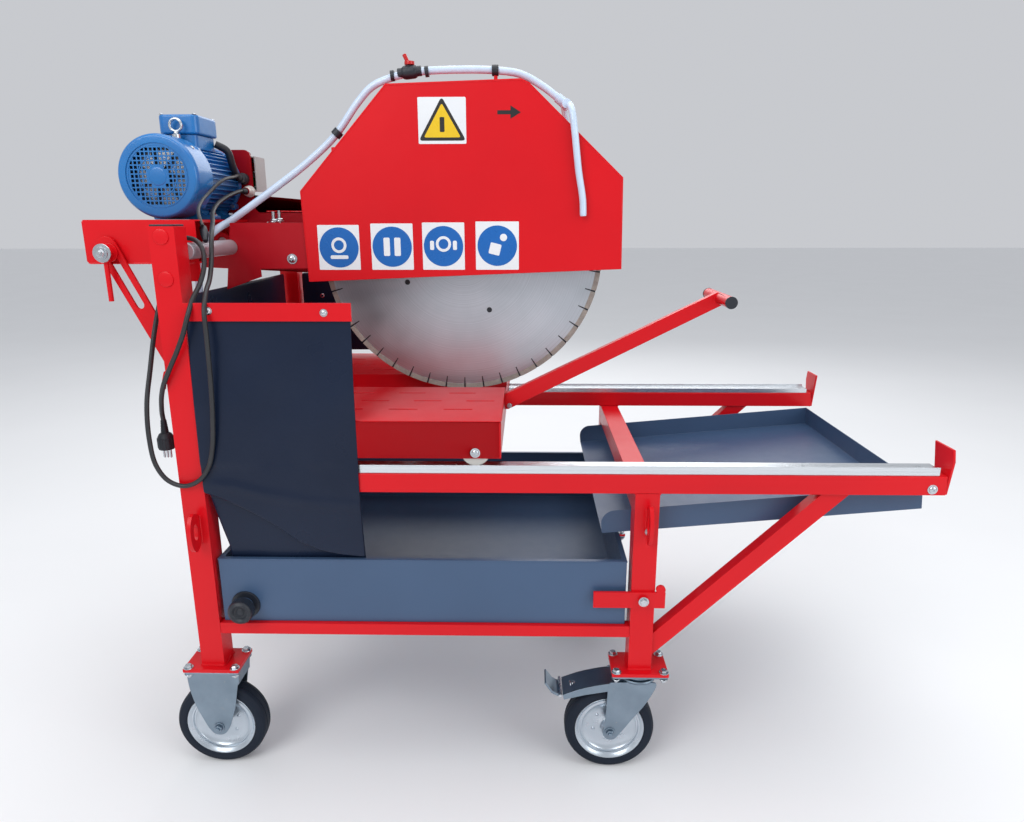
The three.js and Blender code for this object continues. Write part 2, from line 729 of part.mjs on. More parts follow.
// ---------------------------------------------------------------- blade and spindle
{
  const y0 = MID_Y - BLADE.thickness / 2;
  const y1 = MID_Y + BLADE.thickness / 2;
  const step = (Math.PI * 2) / BLADE.slots;
  const rim = [];
  for (let i = 0; i < BLADE.slots; i++) {
    const a = i * step;
    const half = BLADE.slotWidth / 2 / BLADE.r;
    const root = BLADE.r - BLADE.slotDepth;
    rim.push([BLADE.r, a + half], [BLADE.r, a + step - half]);
    rim.push([root, a + step - half], [root, a + step + half]);
  }
  const outline = rim.map(([r, a]) => [SPINDLE.x + r * Math.cos(a), SPINDLE.z + r * Math.sin(a)]);
  const disc = cut(
    plate("xz", outline, y0, y1),
    rodY(SPINDLE.x, SPINDLE.z, y0 - 1, y1 + 1, SPINDLE.r + 0.5, 24),
  );
  add("blade", disc, STEEL);

  const { motor, counterIn, counterOut, spindle, flange } = PULLEY;
  /** The [radius, y] points of a grooved pulley centred on a plane, low side to high side. */
  const grooved = (radius, centre) => {
    const half = BELT.width / 2 + 1;
    return [
      [radius + flange, centre - half - 2],
      [radius + flange, centre - half],
      [radius, centre - half],
      [radius, centre + half],
      [radius + flange, centre + half],
      [radius + flange, centre + half + 2],
    ];
  };
  const spindleBody = [
    [0, MID_Y - 34],
    [SPINDLE.r, MID_Y - 34],
    [SPINDLE.r, y1 + GAP],
    [BLADE.flangeR, y1 + GAP],
    [BLADE.flangeR, y1 + 12],
    [SPINDLE.r, y1 + 12],
    [SPINDLE.r, BELT.armY - 9.5],
    ...grooved(spindle, BELT.armY),
    [SPINDLE.r, BELT.armY + 9.5],
    [SPINDLE.r, BELT.armY + 14],
    [0, BELT.armY + 14],
  ];
  add("blade_spindle", turnedY(spindleBody, SPINDLE.x, SPINDLE.z, 24), STEEL);

  const outerFlange = [
    [SPINDLE.r + 0.5, y0 - 24],
    [24, y0 - 24],
    [24, y0 - 12],
    [BLADE.flangeR, y0 - 10],
    [BLADE.flangeR, y0 - GAP],
    [SPINDLE.r + 0.5, y0 - GAP],
    [SPINDLE.r + 0.5, y0 - 24],
  ];
  add("blade_flange", turnedY(outerFlange, SPINDLE.x, SPINDLE.z, 24), STEEL);

  const end = ARM.farY - GAP;
  const housing = [
    [SPINDLE.r + 0.8, y1 + 16],
    [42, y1 + 16],
    [42, end - 10],
    [49, end - 10],
    [49, end],
    [SPINDLE.r + 0.8, end],
    [SPINDLE.r + 0.8, y1 + 16],
  ];
  add("spindle_housing", turnedY(housing, SPINDLE.x, SPINDLE.z, 24), RED);

  // countershaft with its two pulleys
  const shaftR = 12;
  const counterBody = [
    [0, ARM.farY - 12],
    [shaftR, ARM.farY - 12],
    [shaftR, BELT.motorY - 9.5],
    ...grooved(counterIn, BELT.motorY),
    [shaftR, BELT.motorY + 9.5],
    [shaftR, BELT.armY - 9.5],
    ...grooved(counterOut, BELT.armY),
    [shaftR, BELT.armY + 9.5],
    [shaftR, BELT.armY + 14],
    [0, BELT.armY + 14],
  ];
  add("countershaft", turnedY(counterBody, COUNTER.x, COUNTER.z, 20), STEEL);

  // motor rotor: fan, core, shaft and drive pulley
  const rotorBody = [
    [0, 236],
    [shaftR, 236],
    [shaftR, 246],
    [72, 250],
    [72, 270],
    [30, 274],
    [shaftR, 284],
    [shaftR, 330],
    [54, 330],
    [54, 450],
    [shaftR, 450],
    [shaftR, BELT.motorY - 9.5],
    ...grooved(motor, BELT.motorY),
    [shaftR, BELT.motorY + 9.5],
    [0, BELT.motorY + 9.5],
  ];
  add("motor_rotor", turnedY(rotorBody, MOTOR.x, MOTOR.z, 20), STEEL);

  /** A belt loop round two pulleys in the plane of its centre. */
  const belt = (a, b, radiusA, radiusB, centre) => {
    const low = centre - BELT.width / 2 + 0.5;
    const high = centre + BELT.width / 2 - 0.5;
    const inside = 1;
    const outside = inside + BELT.thickness;
    const loop = (grow) => stadium([a.x, a.z], [b.x, b.z], radiusA + grow, radiusB + grow, 13);
    return cut(
      plate("xz", loop(outside), low, high),
      plate("xz", loop(inside), low - 1, high + 1),
    );
  };
  add("motor_belt", belt(MOTOR, COUNTER, motor, counterIn, BELT.motorY), RUBBER);
  add("arm_belt", belt(COUNTER, SPINDLE, counterOut, spindle, BELT.armY), RUBBER);
}

// ---------------------------------------------------------------- belt guard
{
  const outline = [
    [-1086, 1101],
    [-326, 1063],
    [-326, 1214],
    [-345, 1228],
    [-955, 1228],
    [-982, 1284],
    [-982, 1352],
    [-994, 1364],
    [-1088, 1364],
    [-1102, 1350],
    [-1102, 1222],
    [-1086, 1212],
  ];
  const inner = [
    [-1084, 1103.2],
    [-328, 1065.2],
    [-328, 1213],
    [-346, 1226],
    [-956, 1226],
    [-984, 1283.5],
    [-984, 1351],
    [-995, 1362],
    [-1087, 1362],
    [-1100, 1349],
    [-1100, 1223],
    [-1084, 1213],
  ];
  const y0 = ARM.farY + ARM.plate + GAP;
  const y1 = 574;
  const cover = cut(
    plate("xz", outline, y0, y1),
    plate("xz", inner, y0 - 1, y1 - 2),
    rodY(PIVOT.x, PIVOT.z, y0, y1 + 1, PIVOT.r + 2, 24),
  );
  add("belt_guard", cover, RED);
}

// ---------------------------------------------------------------- motor housing
{
  const { x, z, r, cowlR, cowlY, bodyY, endY } = MOTOR;
  const shell = [
    [62, bodyY + GAP],
    [cowlR - 2.4, bodyY + GAP],
    [cowlR - 2.4, bodyY + 20],
    [r, bodyY + 20],
    [r, endY],
    [14, endY],
    [14, endY - 12],
    [62, endY - 12],
    [62, bodyY + GAP],
  ];
  const terminalBox = box(-1068, 318, z + r - 14, -983, 416, 1446);
  const feet = [330, 440].map((y) => box(x - 66, y, BEAM.z1 + GAP, x + 66, y + 40, 1246));
  add("motor_body", join(turnedY(shell, x, z, 28), terminalBox, ...feet), BLUE);

  const face = [
    [16, cowlY],
    [cowlR - 12, cowlY],
    [cowlR - 3, cowlY + 4],
    [cowlR, cowlY + 14],
    [cowlR, bodyY + 14],
    [cowlR - 2, bodyY + 14],
    [cowlR - 2, cowlY + 16],
    [cowlR - 12, cowlY + 3],
    [16, cowlY + 3],
    [16, cowlY],
  ];
  add("fan_cowl", turnedY(face, x, z, 28), BLUE);
}

// ---------------------------------------------------------------- switch box
{
  const y0 = ARM.farY + ARM.plate + GAP;
  const y1 = 574;
  const low = [-978, y0, 1290];
  const high = [-926, y1, 1372];
  const wall = 2.5;
  const buttonX = (low[0] + high[0]) / 2;
  const buttons = [
    { name: "stop_button", z: 1350, material: RED },
    { name: "start_button", z: 1314, material: GREEN },
  ];
  const holes = buttons.map(({ z }) => rodY(buttonX, z, y1 - 5, y1 + 1, 11.4, 20));
  const inside = box(
    low[0] + wall, y0 - 1, low[2] + wall, high[0] - wall, y1 - wall, high[2] - wall,
  );
  add("switch_box", cut(box(...low, ...high), inside, ...holes), LIGHT_GREY);
  for (const { name, z, material } of buttons) {
    add(name, rodY(buttonX, z, y1 - 14, y1 + 7, 10.8, 20), material);
  }
}

// ---------------------------------------------------------------- water line on the head
{
  const y = 300;
  const supply = [
    [-972, 266, 1168],
    [-950, 280, 1196],
    [-918, y, 1219],
    [-876, y, 1246],
    [-801, y, 1296],
    [-742, y, 1337],
    [-671, y, 1397],
    [-616, y, 1466],
    [-584, y, 1497],
    [-544, y, 1514],
    [-501, y, 1524],
    [-464, y, 1528],
    [-385, y, 1530],
    [-316, y, 1528],
    [-262, y, 1520],
    [-212, y, 1494],
    [-167, y, 1461],
  ];
  /** A spray branch from the tee, over the edge of the guard and down its panel. */
  const branch = (over, panelY) => [
    [-167, y, 1461],
    ...over,
    [-147, panelY, 1400],
    [-137, panelY, 1320],
    [-127, panelY, 1262],
    [-125, panelY, 1226],
  ];
  const nearY = GUARD.y0 - HOSE_R - 2;
  const farY = GUARD.y1 + HOSE_R + 2;
  const nearBranch = branch([[-159, y - 14, 1458], [-153, nearY + 6, 1440]], nearY);
  const farBranch = branch([[-166, y + 80, 1470], [-155, farY - 6, 1452]], farY);
  const tee = rod([-174, y, 1466], [-160, y, 1456], 12, 12);
  add(
    "water_hose",
    join(
      alongCurve(supply, HOSE_R, 36),
      alongCurve(nearBranch, HOSE_R, 12),
      alongCurve(farBranch, HOSE_R, 14),
      tee,
    ),
    HOSE,
  );

  const valve = { x: -501, z: 1524, neck: 15.5 };
  const body = cut(
    join(
      rod([valve.x - 22, y, valve.z - 2.4], [valve.x + 22, y, valve.z + 2.4], 14, 12),
      rod([valve.x, y, valve.z], [valve.x, y, valve.z + valve.neck], 9, 12),
    ),
    alongCurve(supply, HOSE_R + 0.5, 36),
  );
  add("valve_body", body, BLACK);
  const leverTop = valve.z + valve.neck + GAP;
  const lever = join(
    rod([valve.x, y, leverTop], [valve.x, y, leverTop + 7], 11, 16),
    rod([valve.x - 3, y, leverTop + 4], [valve.x - 11, y, leverTop + 21], 4.5, 10),
  );
  add("valve_lever", lever, RED);
}

// ---------------------------------------------------------------- supply cord and plug
{
  const route = [
    [-943, 468, 1288],
    [-944, 440, 1287],
    [-947, 380, 1276],
    [-949, 310, 1256],
    [-938, 250, 1236],
    [-915, 190, 1216],
    [-896, 140, 1203],
    [-888, 104, 1184],
    [-882, 88, 1146],
    [-875, 54, 1106],
    [-869, 12, 1090],
    [-865, -14, 1062],
    [-863, -16, 1000],
    [-865, -15, 915],
    [-869, -15, 840],
    [-878, -14, 776],
    [-904, -12, 722],
    [-950, -9, 692],
    [-990, -8, 722],
    [-1009, -2, 780],
    [-1013, 8, 850],
    [-1007, 30, 925],
    [-996, 54, 1010],
    [-978, 70, 1084],
    [-950, 76, 1142],
    [-937, 73, 1172],
    [-917, 70, 1184],
    [-898, 66, 1175],
    [-890, 60, 1150],
    [-890, 44, 1112],
    [-893, 8, 1088],
    [-897, -12, 1062],
    [-908, -14, 1030],
    [-922, -12, 1000],
    [-948, -10, 942],
    [-975, -8, 884],
    [-988, 8, 852],
    [-995, 32, 836],
    [-995, 36, 822],
  ];
  add("power_cord", alongCurve(route, CORD_R, 80, 8), BLACK);
  const [x, y, z] = route[route.length - 1];
  const top = z - GAP - 1;
  const pins = [-9, 0, 9].map((d) => rod([x + d, y, top - 60], [x + d, y, top - 82], 2.6, 8));
  const plug = join(
    rod([x, y, top], [x, y, top - 22], 8, 12),
    rod([x, y, top - 20], [x, y, top - 62], 19, 16),
    ...pins,
  );
  add("plug", plug, BLACK);
}

// ---------------------------------------------------------------- origin: floor, under the middle
const bounds = new THREE.Box3();
for (const mesh of saw.children) {
  if (!cordNames.has(mesh.name)) bounds.expandByObject(mesh);
}
saw.position.set(
  -(bounds.min.x + bounds.max.x) / 2,
  -(bounds.min.y + bounds.max.y) / 2,
  -bounds.min.z,
);

export default saw;
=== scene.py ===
"""The masonry saw's looks: materials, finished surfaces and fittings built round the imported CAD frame.
Shapes are written in millimetres on the part's own layout (x along the rails from the front legs, y from the
near side, z up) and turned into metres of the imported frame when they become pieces."""
import random
from math import cos, degrees, exp, hypot, pi, radians, sin

import bmesh
import bpy
import numpy as np
from mathutils import Matrix, Vector, noise


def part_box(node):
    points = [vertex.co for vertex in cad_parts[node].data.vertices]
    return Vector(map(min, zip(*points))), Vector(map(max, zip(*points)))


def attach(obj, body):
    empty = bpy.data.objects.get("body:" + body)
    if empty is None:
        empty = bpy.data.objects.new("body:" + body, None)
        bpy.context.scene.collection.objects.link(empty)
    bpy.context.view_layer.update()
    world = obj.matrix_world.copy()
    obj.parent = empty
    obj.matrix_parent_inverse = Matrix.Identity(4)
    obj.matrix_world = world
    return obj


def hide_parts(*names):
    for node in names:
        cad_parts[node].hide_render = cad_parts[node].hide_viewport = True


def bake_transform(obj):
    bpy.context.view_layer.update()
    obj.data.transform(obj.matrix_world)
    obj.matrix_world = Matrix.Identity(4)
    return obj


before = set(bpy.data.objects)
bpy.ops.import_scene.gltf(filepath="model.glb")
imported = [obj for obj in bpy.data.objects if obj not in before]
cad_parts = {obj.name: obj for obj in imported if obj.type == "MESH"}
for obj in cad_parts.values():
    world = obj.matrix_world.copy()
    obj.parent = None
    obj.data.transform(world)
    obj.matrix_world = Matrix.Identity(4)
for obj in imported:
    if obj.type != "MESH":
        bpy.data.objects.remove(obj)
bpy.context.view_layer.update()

random.seed(11)

MM = 0.001
RAIL_END = 598.0  # x of the rails' front end in the layout
RAIL_BOTTOM = 679.0
RAIL_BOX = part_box("side_rail_near")
SHIFT = Vector((RAIL_BOX[1].x - RAIL_END * MM, RAIL_BOX[0].y, RAIL_BOX[0].z - RAIL_BOTTOM * MM))
DEPTH = 773.0
MID_Y = DEPTH / 2
PIVOT = (-916, 1160)
SPINDLE = (-402, 1144)
MOTOR = (-1040, 1310)
CLAMP = (-1090, 1156)
LINK_PIN = (-945, 847)
TAU = 2 * pi


def metres(p):
    return Vector((p[0] * MM, p[1] * MM, p[2] * MM)) + SHIFT


# ---------------- materials
def node(tree, kind, operation=None, **inputs):
    """A new shader node with its inputs set by name."""
    made = tree.nodes.new("ShaderNode" + kind)
    if operation:
        made.operation = operation
    for name, value in inputs.items():
        made.inputs[name.replace("_", " ")].default_value = value
    return made


def new_material(name, metallic):
    made = bpy.data.materials.new(name)
    made.use_nodes = True
    shader = made.node_tree.nodes["Principled BSDF"]
    shader.inputs["Metallic"].default_value = metallic
    return made, made.node_tree, shader.inputs


def colour_ramp(tree, value, low, high):
    """A colour that runs between two (position, colour) stops."""
    made = node(tree, "ValToRGB")
    for stop, (position, colour) in zip(made.color_ramp.elements, (low, high)):
        stop.position = position
        stop.color = (*colour, 1)
    tree.links.new(value, made.inputs["Fac"])
    return made.outputs["Color"]


def roughness(tree, shader, value, low, high):
    spread = node(tree, "MapRange", To_Min=low, To_Max=high)
    tree.links.new(value, spread.inputs["Value"])
    tree.links.new(spread.outputs["Result"], shader["Roughness"])


def relief(tree, shader, height, strength, distance):
    bumps = node(tree, "Bump", Strength=strength, Distance=distance)
    tree.links.new(height, bumps.inputs["Height"])
    tree.links.new(bumps.outputs["Normal"], shader["Normal"])


def material(name, base, rough, tint, metallic=0.0, coat=0.0, patches=(0.08, 30), bump=None,
        stretch=(1, 1, 1), speck=None, specular=0.5):
    """A Principled material with noise-driven colour, roughness and relief in object space.

    tint is (colour, scale), patches (roughness spread, scale), bump (strength, scale) and speck (colour,
    scale, threshold)."""
    made, tree, shader = new_material(name, metallic)
    shader["Coat Weight"].default_value = coat
    shader["Coat Roughness"].default_value = 0.08
    shader["Specular IOR Level"].default_value = specular
    place = node(tree, "TexCoord").outputs["Object"]
    mapping = node(tree, "Mapping", Scale=stretch)
    tree.links.new(place, mapping.inputs["Vector"])

    def noise_at(scale, detail=4.0, source=mapping.outputs["Vector"]):
        spots = node(tree, "TexNoise", Scale=scale, Detail=detail)
        tree.links.new(source, spots.inputs["Vector"])
        return spots.outputs["Fac"]

    colour = colour_ramp(tree, noise_at(tint[1]), (0.25, tint[0]), (0.75, base))
    if speck:
        speck_colour, scale, threshold = speck
        cut = node(tree, "MapRange", From_Min=threshold, From_Max=threshold + 0.05)
        tree.links.new(noise_at(scale, 6.0, place), cut.inputs["Value"])
        mix = node(tree, "Mix")
        mix.data_type = "RGBA"
        tree.links.new(cut.outputs["Result"], mix.inputs["Factor"])
        tree.links.new(colour, mix.inputs["A"])
        mix.inputs["B"].default_value = (*speck_colour, 1)
        colour = mix.outputs["Result"]
    tree.links.new(colour, shader["Base Color"])
    spread, scale = patches
    roughness(tree, shader, noise_at(scale), rough - spread, rough + spread)
    if bump:
        relief(tree, shader, noise_at(bump[1], 2.0), bump[0], 0.001)
    return made


def vinyl(name, base, rough, tint):
    return material(name, base, rough, tint=(tint, 9), bump=(0.08, 500))


RED = material("red_powder_coat", (0.70, 0.004, 0.010), 0.34, coat=0.10, tint=((0.58, 0.003, 0.009), 2.2),
    bump=(0.10, 700), patches=(0.06, 30), speck=((0.42, 0.01, 0.01), 260, 0.80), specular=0.22)
ANTHRACITE = material("anthracite_powder_coat", (0.050, 0.098, 0.190), 0.38,
    tint=((0.040, 0.080, 0.158), 3.0), bump=(0.22, 900), speck=((0.09, 0.13, 0.20), 300, 0.78))
BLUE = material("blue_enamel", (0.010, 0.185, 0.52), 0.30, coat=0.3, tint=((0.007, 0.140, 0.42), 12),
    bump=(0.25, 500), speck=((0.03, 0.16, 0.5), 220, 0.74))
CURTAIN = material("curtain_rubber", (0.005, 0.011, 0.030), 0.30, tint=((0.008, 0.016, 0.040), 5),
    patches=(0.10, 9), bump=(0.30, 260), speck=((0.025, 0.035, 0.060), 140, 0.80), specular=0.24)
RUBBER = material("black_rubber", (0.009, 0.012, 0.019), 0.55, tint=((0.015, 0.019, 0.028), 20),
    bump=(0.35, 900))
CORD = material("cord_rubber", (0.014, 0.015, 0.018), 0.42, tint=((0.022, 0.024, 0.028), 30),
    bump=(0.2, 1500))
TYRE = material("tyre_rubber", (0.006, 0.011, 0.022), 0.58, tint=((0.010, 0.016, 0.029), 14),
    bump=(0.4, 700), speck=((0.030, 0.036, 0.046), 120, 0.79), specular=0.22)
ZINC = material("zinc_plate", (0.62, 0.65, 0.68), 0.27, metallic=1.0, tint=((0.50, 0.54, 0.58), 26),
    patches=(0.12, 60), bump=(0.10, 350), speck=((0.42, 0.44, 0.44), 90, 0.70))
FORK_ZINC = material("caster_zinc", (0.27, 0.34, 0.41), 0.36, metallic=1.0, tint=((0.21, 0.27, 0.33), 22),
    patches=(0.12, 50), bump=(0.12, 320), speck=((0.30, 0.33, 0.35), 90, 0.70))
RIM_ZINC = material("rim_zinc", (0.60, 0.66, 0.72), 0.30, metallic=1.0, tint=((0.50, 0.56, 0.62), 22),
    patches=(0.10, 50), bump=(0.08, 320))
# Painted shade: a darker copy of the red powder coat for the swing arm, whose plate sits in shade under the
# head.
SHADED_RED = material("red_powder_coat_painted_shade", (0.44, 0.004, 0.012), 0.36, coat=0.10,
    tint=((0.36, 0.003, 0.010), 2.2), bump=(0.10, 700), specular=0.2)
SHAFT_GREY = material("shaft_grey", (0.46, 0.43, 0.47), 0.46, metallic=0.5, tint=((0.38, 0.36, 0.40), 14),
    bump=(0.15, 300))
STEEL = material("ground_steel", (0.52, 0.53, 0.55), 0.30, metallic=1.0, tint=((0.42, 0.43, 0.45), 16),
    bump=(0.15, 300), patches=(0.10, 30))
ALUMINIUM = material("drawn_aluminium", (0.74, 0.77, 0.80), 0.26, metallic=1.0,
    tint=((0.62, 0.66, 0.70), 4), stretch=(0.6, 60, 60), patches=(0.10, 30), bump=(0.12, 40))
BLACK = material("black_plastic", (0.009, 0.012, 0.019), 0.42, tint=((0.014, 0.018, 0.027), 18),
    bump=(0.25, 1200))
NYLON = material("white_nylon", (0.74, 0.74, 0.70), 0.38, tint=((0.66, 0.65, 0.60), 22), bump=(0.1, 600))
GREY = material("grey_plastic", (0.46, 0.48, 0.47), 0.42, tint=((0.40, 0.42, 0.41), 14), bump=(0.3, 1300))
RED_PLASTIC = material("red_plastic", (0.55, 0.008, 0.008), 0.30, tint=((0.47, 0.006, 0.006), 20),
    bump=(0.1, 900))
GREEN_PLASTIC = material("green_plastic", (0.010, 0.24, 0.055), 0.30, tint=((0.008, 0.19, 0.04), 20),
    bump=(0.1, 900))
HOSE = material("hose_pvc", (0.60, 0.72, 0.88), 0.26, tint=((0.52, 0.64, 0.80), 35), coat=0.3,
    bump=(0.15, 500))
WHITE_VINYL = vinyl("white_vinyl", (0.82, 0.84, 0.86), 0.30, (0.74, 0.77, 0.80))
BLUE_VINYL = vinyl("blue_vinyl", (0.004, 0.13, 0.47), 0.28, (0.003, 0.11, 0.41))
YELLOW_VINYL = vinyl("yellow_vinyl", (0.83, 0.56, 0.01), 0.30, (0.76, 0.49, 0.01))
BLACK_VINYL = vinyl("black_vinyl", (0.012, 0.012, 0.013), 0.32, (0.02, 0.02, 0.02))
SEGMENT = material("diamond_segment", (0.50, 0.47, 0.42), 0.62, metallic=0.7, tint=((0.36, 0.34, 0.31), 60),
    bump=(0.8, 900), speck=((0.20, 0.20, 0.19), 700, 0.62))


def blade_steel():
    """Ground disc steel: fine rings round the spindle, with blotches where water has dried."""
    made, tree, shader = new_material("blade_steel", 1.0)
    place = node(tree, "TexCoord").outputs["Object"]
    from_centre = node(tree, "VectorMath", "SUBTRACT")
    from_centre.inputs[1].default_value = metres((SPINDLE[0], MID_Y, SPINDLE[1]))
    distance = node(tree, "VectorMath", "LENGTH")
    rings = node(tree, "TexNoise", Scale=420, Detail=5)
    rings.noise_dimensions = "1D"
    blotch = node(tree, "TexNoise", Scale=9, Detail=8)
    both = node(tree, "Math", "MULTIPLY")
    tree.links.new(place, from_centre.inputs[0])
    tree.links.new(from_centre.outputs[0], distance.inputs[0])
    tree.links.new(distance.outputs["Value"], rings.inputs["W"])
    tree.links.new(place, blotch.inputs["Vector"])
    tree.links.new(rings.outputs["Fac"], both.inputs[0])
    tree.links.new(blotch.outputs["Fac"], both.inputs[1])
    colour = colour_ramp(tree, both.outputs[0], (0.12, (0.52, 0.55, 0.59)), (0.40, (0.64, 0.67, 0.72)))
    tree.links.new(colour, shader["Base Color"])
    roughness(tree, shader, blotch.outputs["Fac"], 0.26, 0.50)
    relief(tree, shader, rings.outputs["Fac"], 0.04, 0.0004)
    return made


BLADE_STEEL = blade_steel()

# A table of which slot of the part each material belongs to, whichever piece wears it.
SLOTS = {
    "red_paint": [RED], "blue_paint": [BLUE], "anthracite_paint": [ANTHRACITE], "hose_pvc": [HOSE],
    "zinc": [ZINC, FORK_ZINC, RIM_ZINC, SHAFT_GREY], "steel": [STEEL, SEGMENT, BLADE_STEEL],
    "cord_rubber": [RUBBER, CORD], "tyre_rubber": [TYRE], "white_plastic": [NYLON, WHITE_VINYL],
    "black_plastic": [BLACK, BLUE_VINYL, YELLOW_VINYL, BLACK_VINYL],
}
SLOT_OF = {look.name: slot for slot, looks in SLOTS.items() for look in looks}

# ---------------- shapes, as (vertices, faces) in millimetres
PLANE_AXES = {"xy": (0, 1, 2), "xz": (0, 2, 1), "yz": (1, 2, 0)}


def add(name, data):
    """A new object in the scene."""
    obj = bpy.data.objects.new(name, data)
    bpy.context.scene.collection.objects.link(obj)
    return obj


def at_plane(plane, u, v, t):
    point = [0.0, 0.0, 0.0]
    a, b, c = PLANE_AXES[plane]
    point[a], point[b], point[c] = u, v, t
    return tuple(point)


def merged(*shapes):
    verts, faces = [], []
    for vs, fs in shapes:
        base = len(verts)
        verts += list(vs)
        faces += [[i + base for i in f] for f in fs]
    return verts, faces


def mirrored(shape):
    """The same shape on the far side of the saw."""
    return [(x, DEPTH - y, z) for x, y, z in shape[0]], [list(reversed(f)) for f in shape[1]]


def placed(shape, at, direction):
    """A shape made along +Z from the origin, stood at a point along a direction."""
    turn = Vector((0, 0, 1)).rotation_difference(Vector(direction).normalized())
    base = Vector(at)
    return [tuple(base + turn @ Vector(v)) for v in shape[0]], shape[1]


def prism(outline, plane, lo, hi):
    n = len(outline)
    verts = [at_plane(plane, u, v, lo) for u, v in outline] + [at_plane(plane, u, v, hi) for u, v in outline]
    faces = [list(range(n)), list(range(2 * n - 1, n - 1, -1))]
    faces += [[i, (i + 1) % n, n + (i + 1) % n, n + i] for i in range(n)]
    return verts, faces


def rect(u0, v0, u1, v1):
    return [(u0, v0), (u1, v0), (u1, v1), (u0, v1)]


def block(x0, y0, z0, x1, y1, z1):
    return prism(rect(x0, y0, x1, y1), "xy", z0, z1)


def revolved(profile, centre=(0, 0, 0), axis="z", steps=32, start=0.0):
    """Turns (radius, height) points about an axis through centre; an open profile ends on the axis."""
    looped = profile[0] == profile[-1]
    verts, rings = [], []
    for r, t in profile[:-1] if looped else profile:
        ring = []
        count = 1 if r < 1e-6 else steps
        for k in range(count):
            a = start + TAU * k / steps
            u, v = r * cos(a), r * sin(a)
            offset = {"z": (u, v, t), "y": (u, t, v), "x": (t, u, v)}[axis]
            ring.append(len(verts))
            verts.append(tuple(c + o for c, o in zip(centre, offset)))
        rings.append(ring)
    faces = []
    for a, b in zip(rings, rings[1:] + rings[:1] if looped else rings[1:]):
        for k in range(steps):
            n = (k + 1) % steps
            if len(a) == 1 and len(b) == 1:
                continue
            if len(a) == 1:
                faces.append([a[0], b[k], b[n]])
            elif len(b) == 1:
                faces.append([a[k], a[n], b[0]])
            else:
                faces.append([a[k], a[n], b[n], b[k]])
    return verts, faces


def circle(cx, cy, r, count, start=0.0):
    """Points spread evenly round a circle, from a start angle in radians."""
    angles = [start + TAU * k / count for k in range(count)]
    return [(cx + r * cos(a), cy + r * sin(a)) for a in angles]


def spoke(centre, angle, corners):
    """An outline of (outward, sideways) corners, turned by an angle about a centre."""
    c, s = cos(angle), sin(angle)
    return [(centre[0] + r * c - w * s, centre[1] + r * s + w * c) for r, w in corners]


def arc(cx, cy, r, a0, a1, steps):
    """Points along an arc, angles in degrees."""
    angles = [radians(a0 + (a1 - a0) * i / steps) for i in range(steps + 1)]
    return [(cx + r * cos(a), cy + r * sin(a)) for a in angles]


def rounded(outline, radius, steps=4):
    """An outline with its corners rounded."""
    made = []
    n = len(outline)
    for i in range(n):
        p, a, b = (Vector(outline[j % n]) for j in (i, i - 1, i + 1))
        da, db = (a - p), (b - p)
        reach = min(radius, da.length * 0.45, db.length * 0.45)
        s, e = p + da.normalized() * reach, p + db.normalized() * reach
        for k in range(steps + 1):
            t = k / steps
            q = s * (1 - t) ** 2 + p * 2 * t * (1 - t) + e * t * t
            made.append((q.x, q.y))
    return made


def stadium(x0, x1, y, half, steps=6):
    left = arc(x0 + half, y, half, 90, 270, steps)
    right = arc(x1 - half, y, half, -90, 90, steps)
    return left + right


def slab(outline, holes, plane, lo, hi, edge=0.0, steps=1):
    """A plate with holes and eased edges, made by a filled flat curve."""
    curve = bpy.data.curves.new("slab", "CURVE")
    curve.dimensions = "2D"
    curve.fill_mode = "BOTH"
    curve.extrude = (hi - lo) / 2 - edge
    curve.bevel_depth = edge
    curve.bevel_resolution = steps
    curve.offset = -edge
    for ring in [outline, *holes]:
        spline = curve.splines.new("POLY")
        spline.points.add(len(ring) - 1)
        for point, (u, v) in zip(spline.points, ring):
            point.co = (u, v, 0, 1)
        spline.use_cyclic_u = True
    holder = add("slab", curve)
    bpy.context.view_layer.update()
    mesh = bpy.data.meshes.new_from_object(holder.evaluated_get(bpy.context.evaluated_depsgraph_get()))
    middle = (lo + hi) / 2
    verts = [at_plane(plane, v.co.x, v.co.y, middle + v.co.z) for v in mesh.vertices]
    faces = [list(p.vertices) for p in mesh.polygons]
    bpy.data.objects.remove(holder)
    bpy.data.curves.remove(curve)
    bpy.data.meshes.remove(mesh)
    return verts, faces


def between(p, q, at_p, at_q, t):
    """The point at t on the line that passes p at at_p and q at at_q."""
    return p * ((at_q - t) / (at_q - at_p)) + q * ((t - at_p) / (at_q - at_p))


def smooth_path(points, per=6):
    """Points along a centripetal Catmull-Rom curve."""
    pts = [Vector(p) for p in points]
    ends = [pts[0] * 2 - pts[1], *pts, pts[-1] * 2 - pts[-2]]
    out = []
    for i in range(len(pts) - 1):
        four = ends[i : i + 4]
        t = [0.0]
        for a, b in zip(four, four[1:]):
            t.append(t[-1] + max((b - a).length, 1e-6) ** 0.5)
        for k in range(per):
            s = t[1] + (t[2] - t[1]) * k / per
            first = [between(four[j], four[j + 1], t[j], t[j + 1], s) for j in range(3)]
            second = [between(first[j], first[j + 1], t[j], t[j + 2], s) for j in range(2)]
            out.append(between(*second, t[1], t[2], s))
    return [*out, pts[-1]]


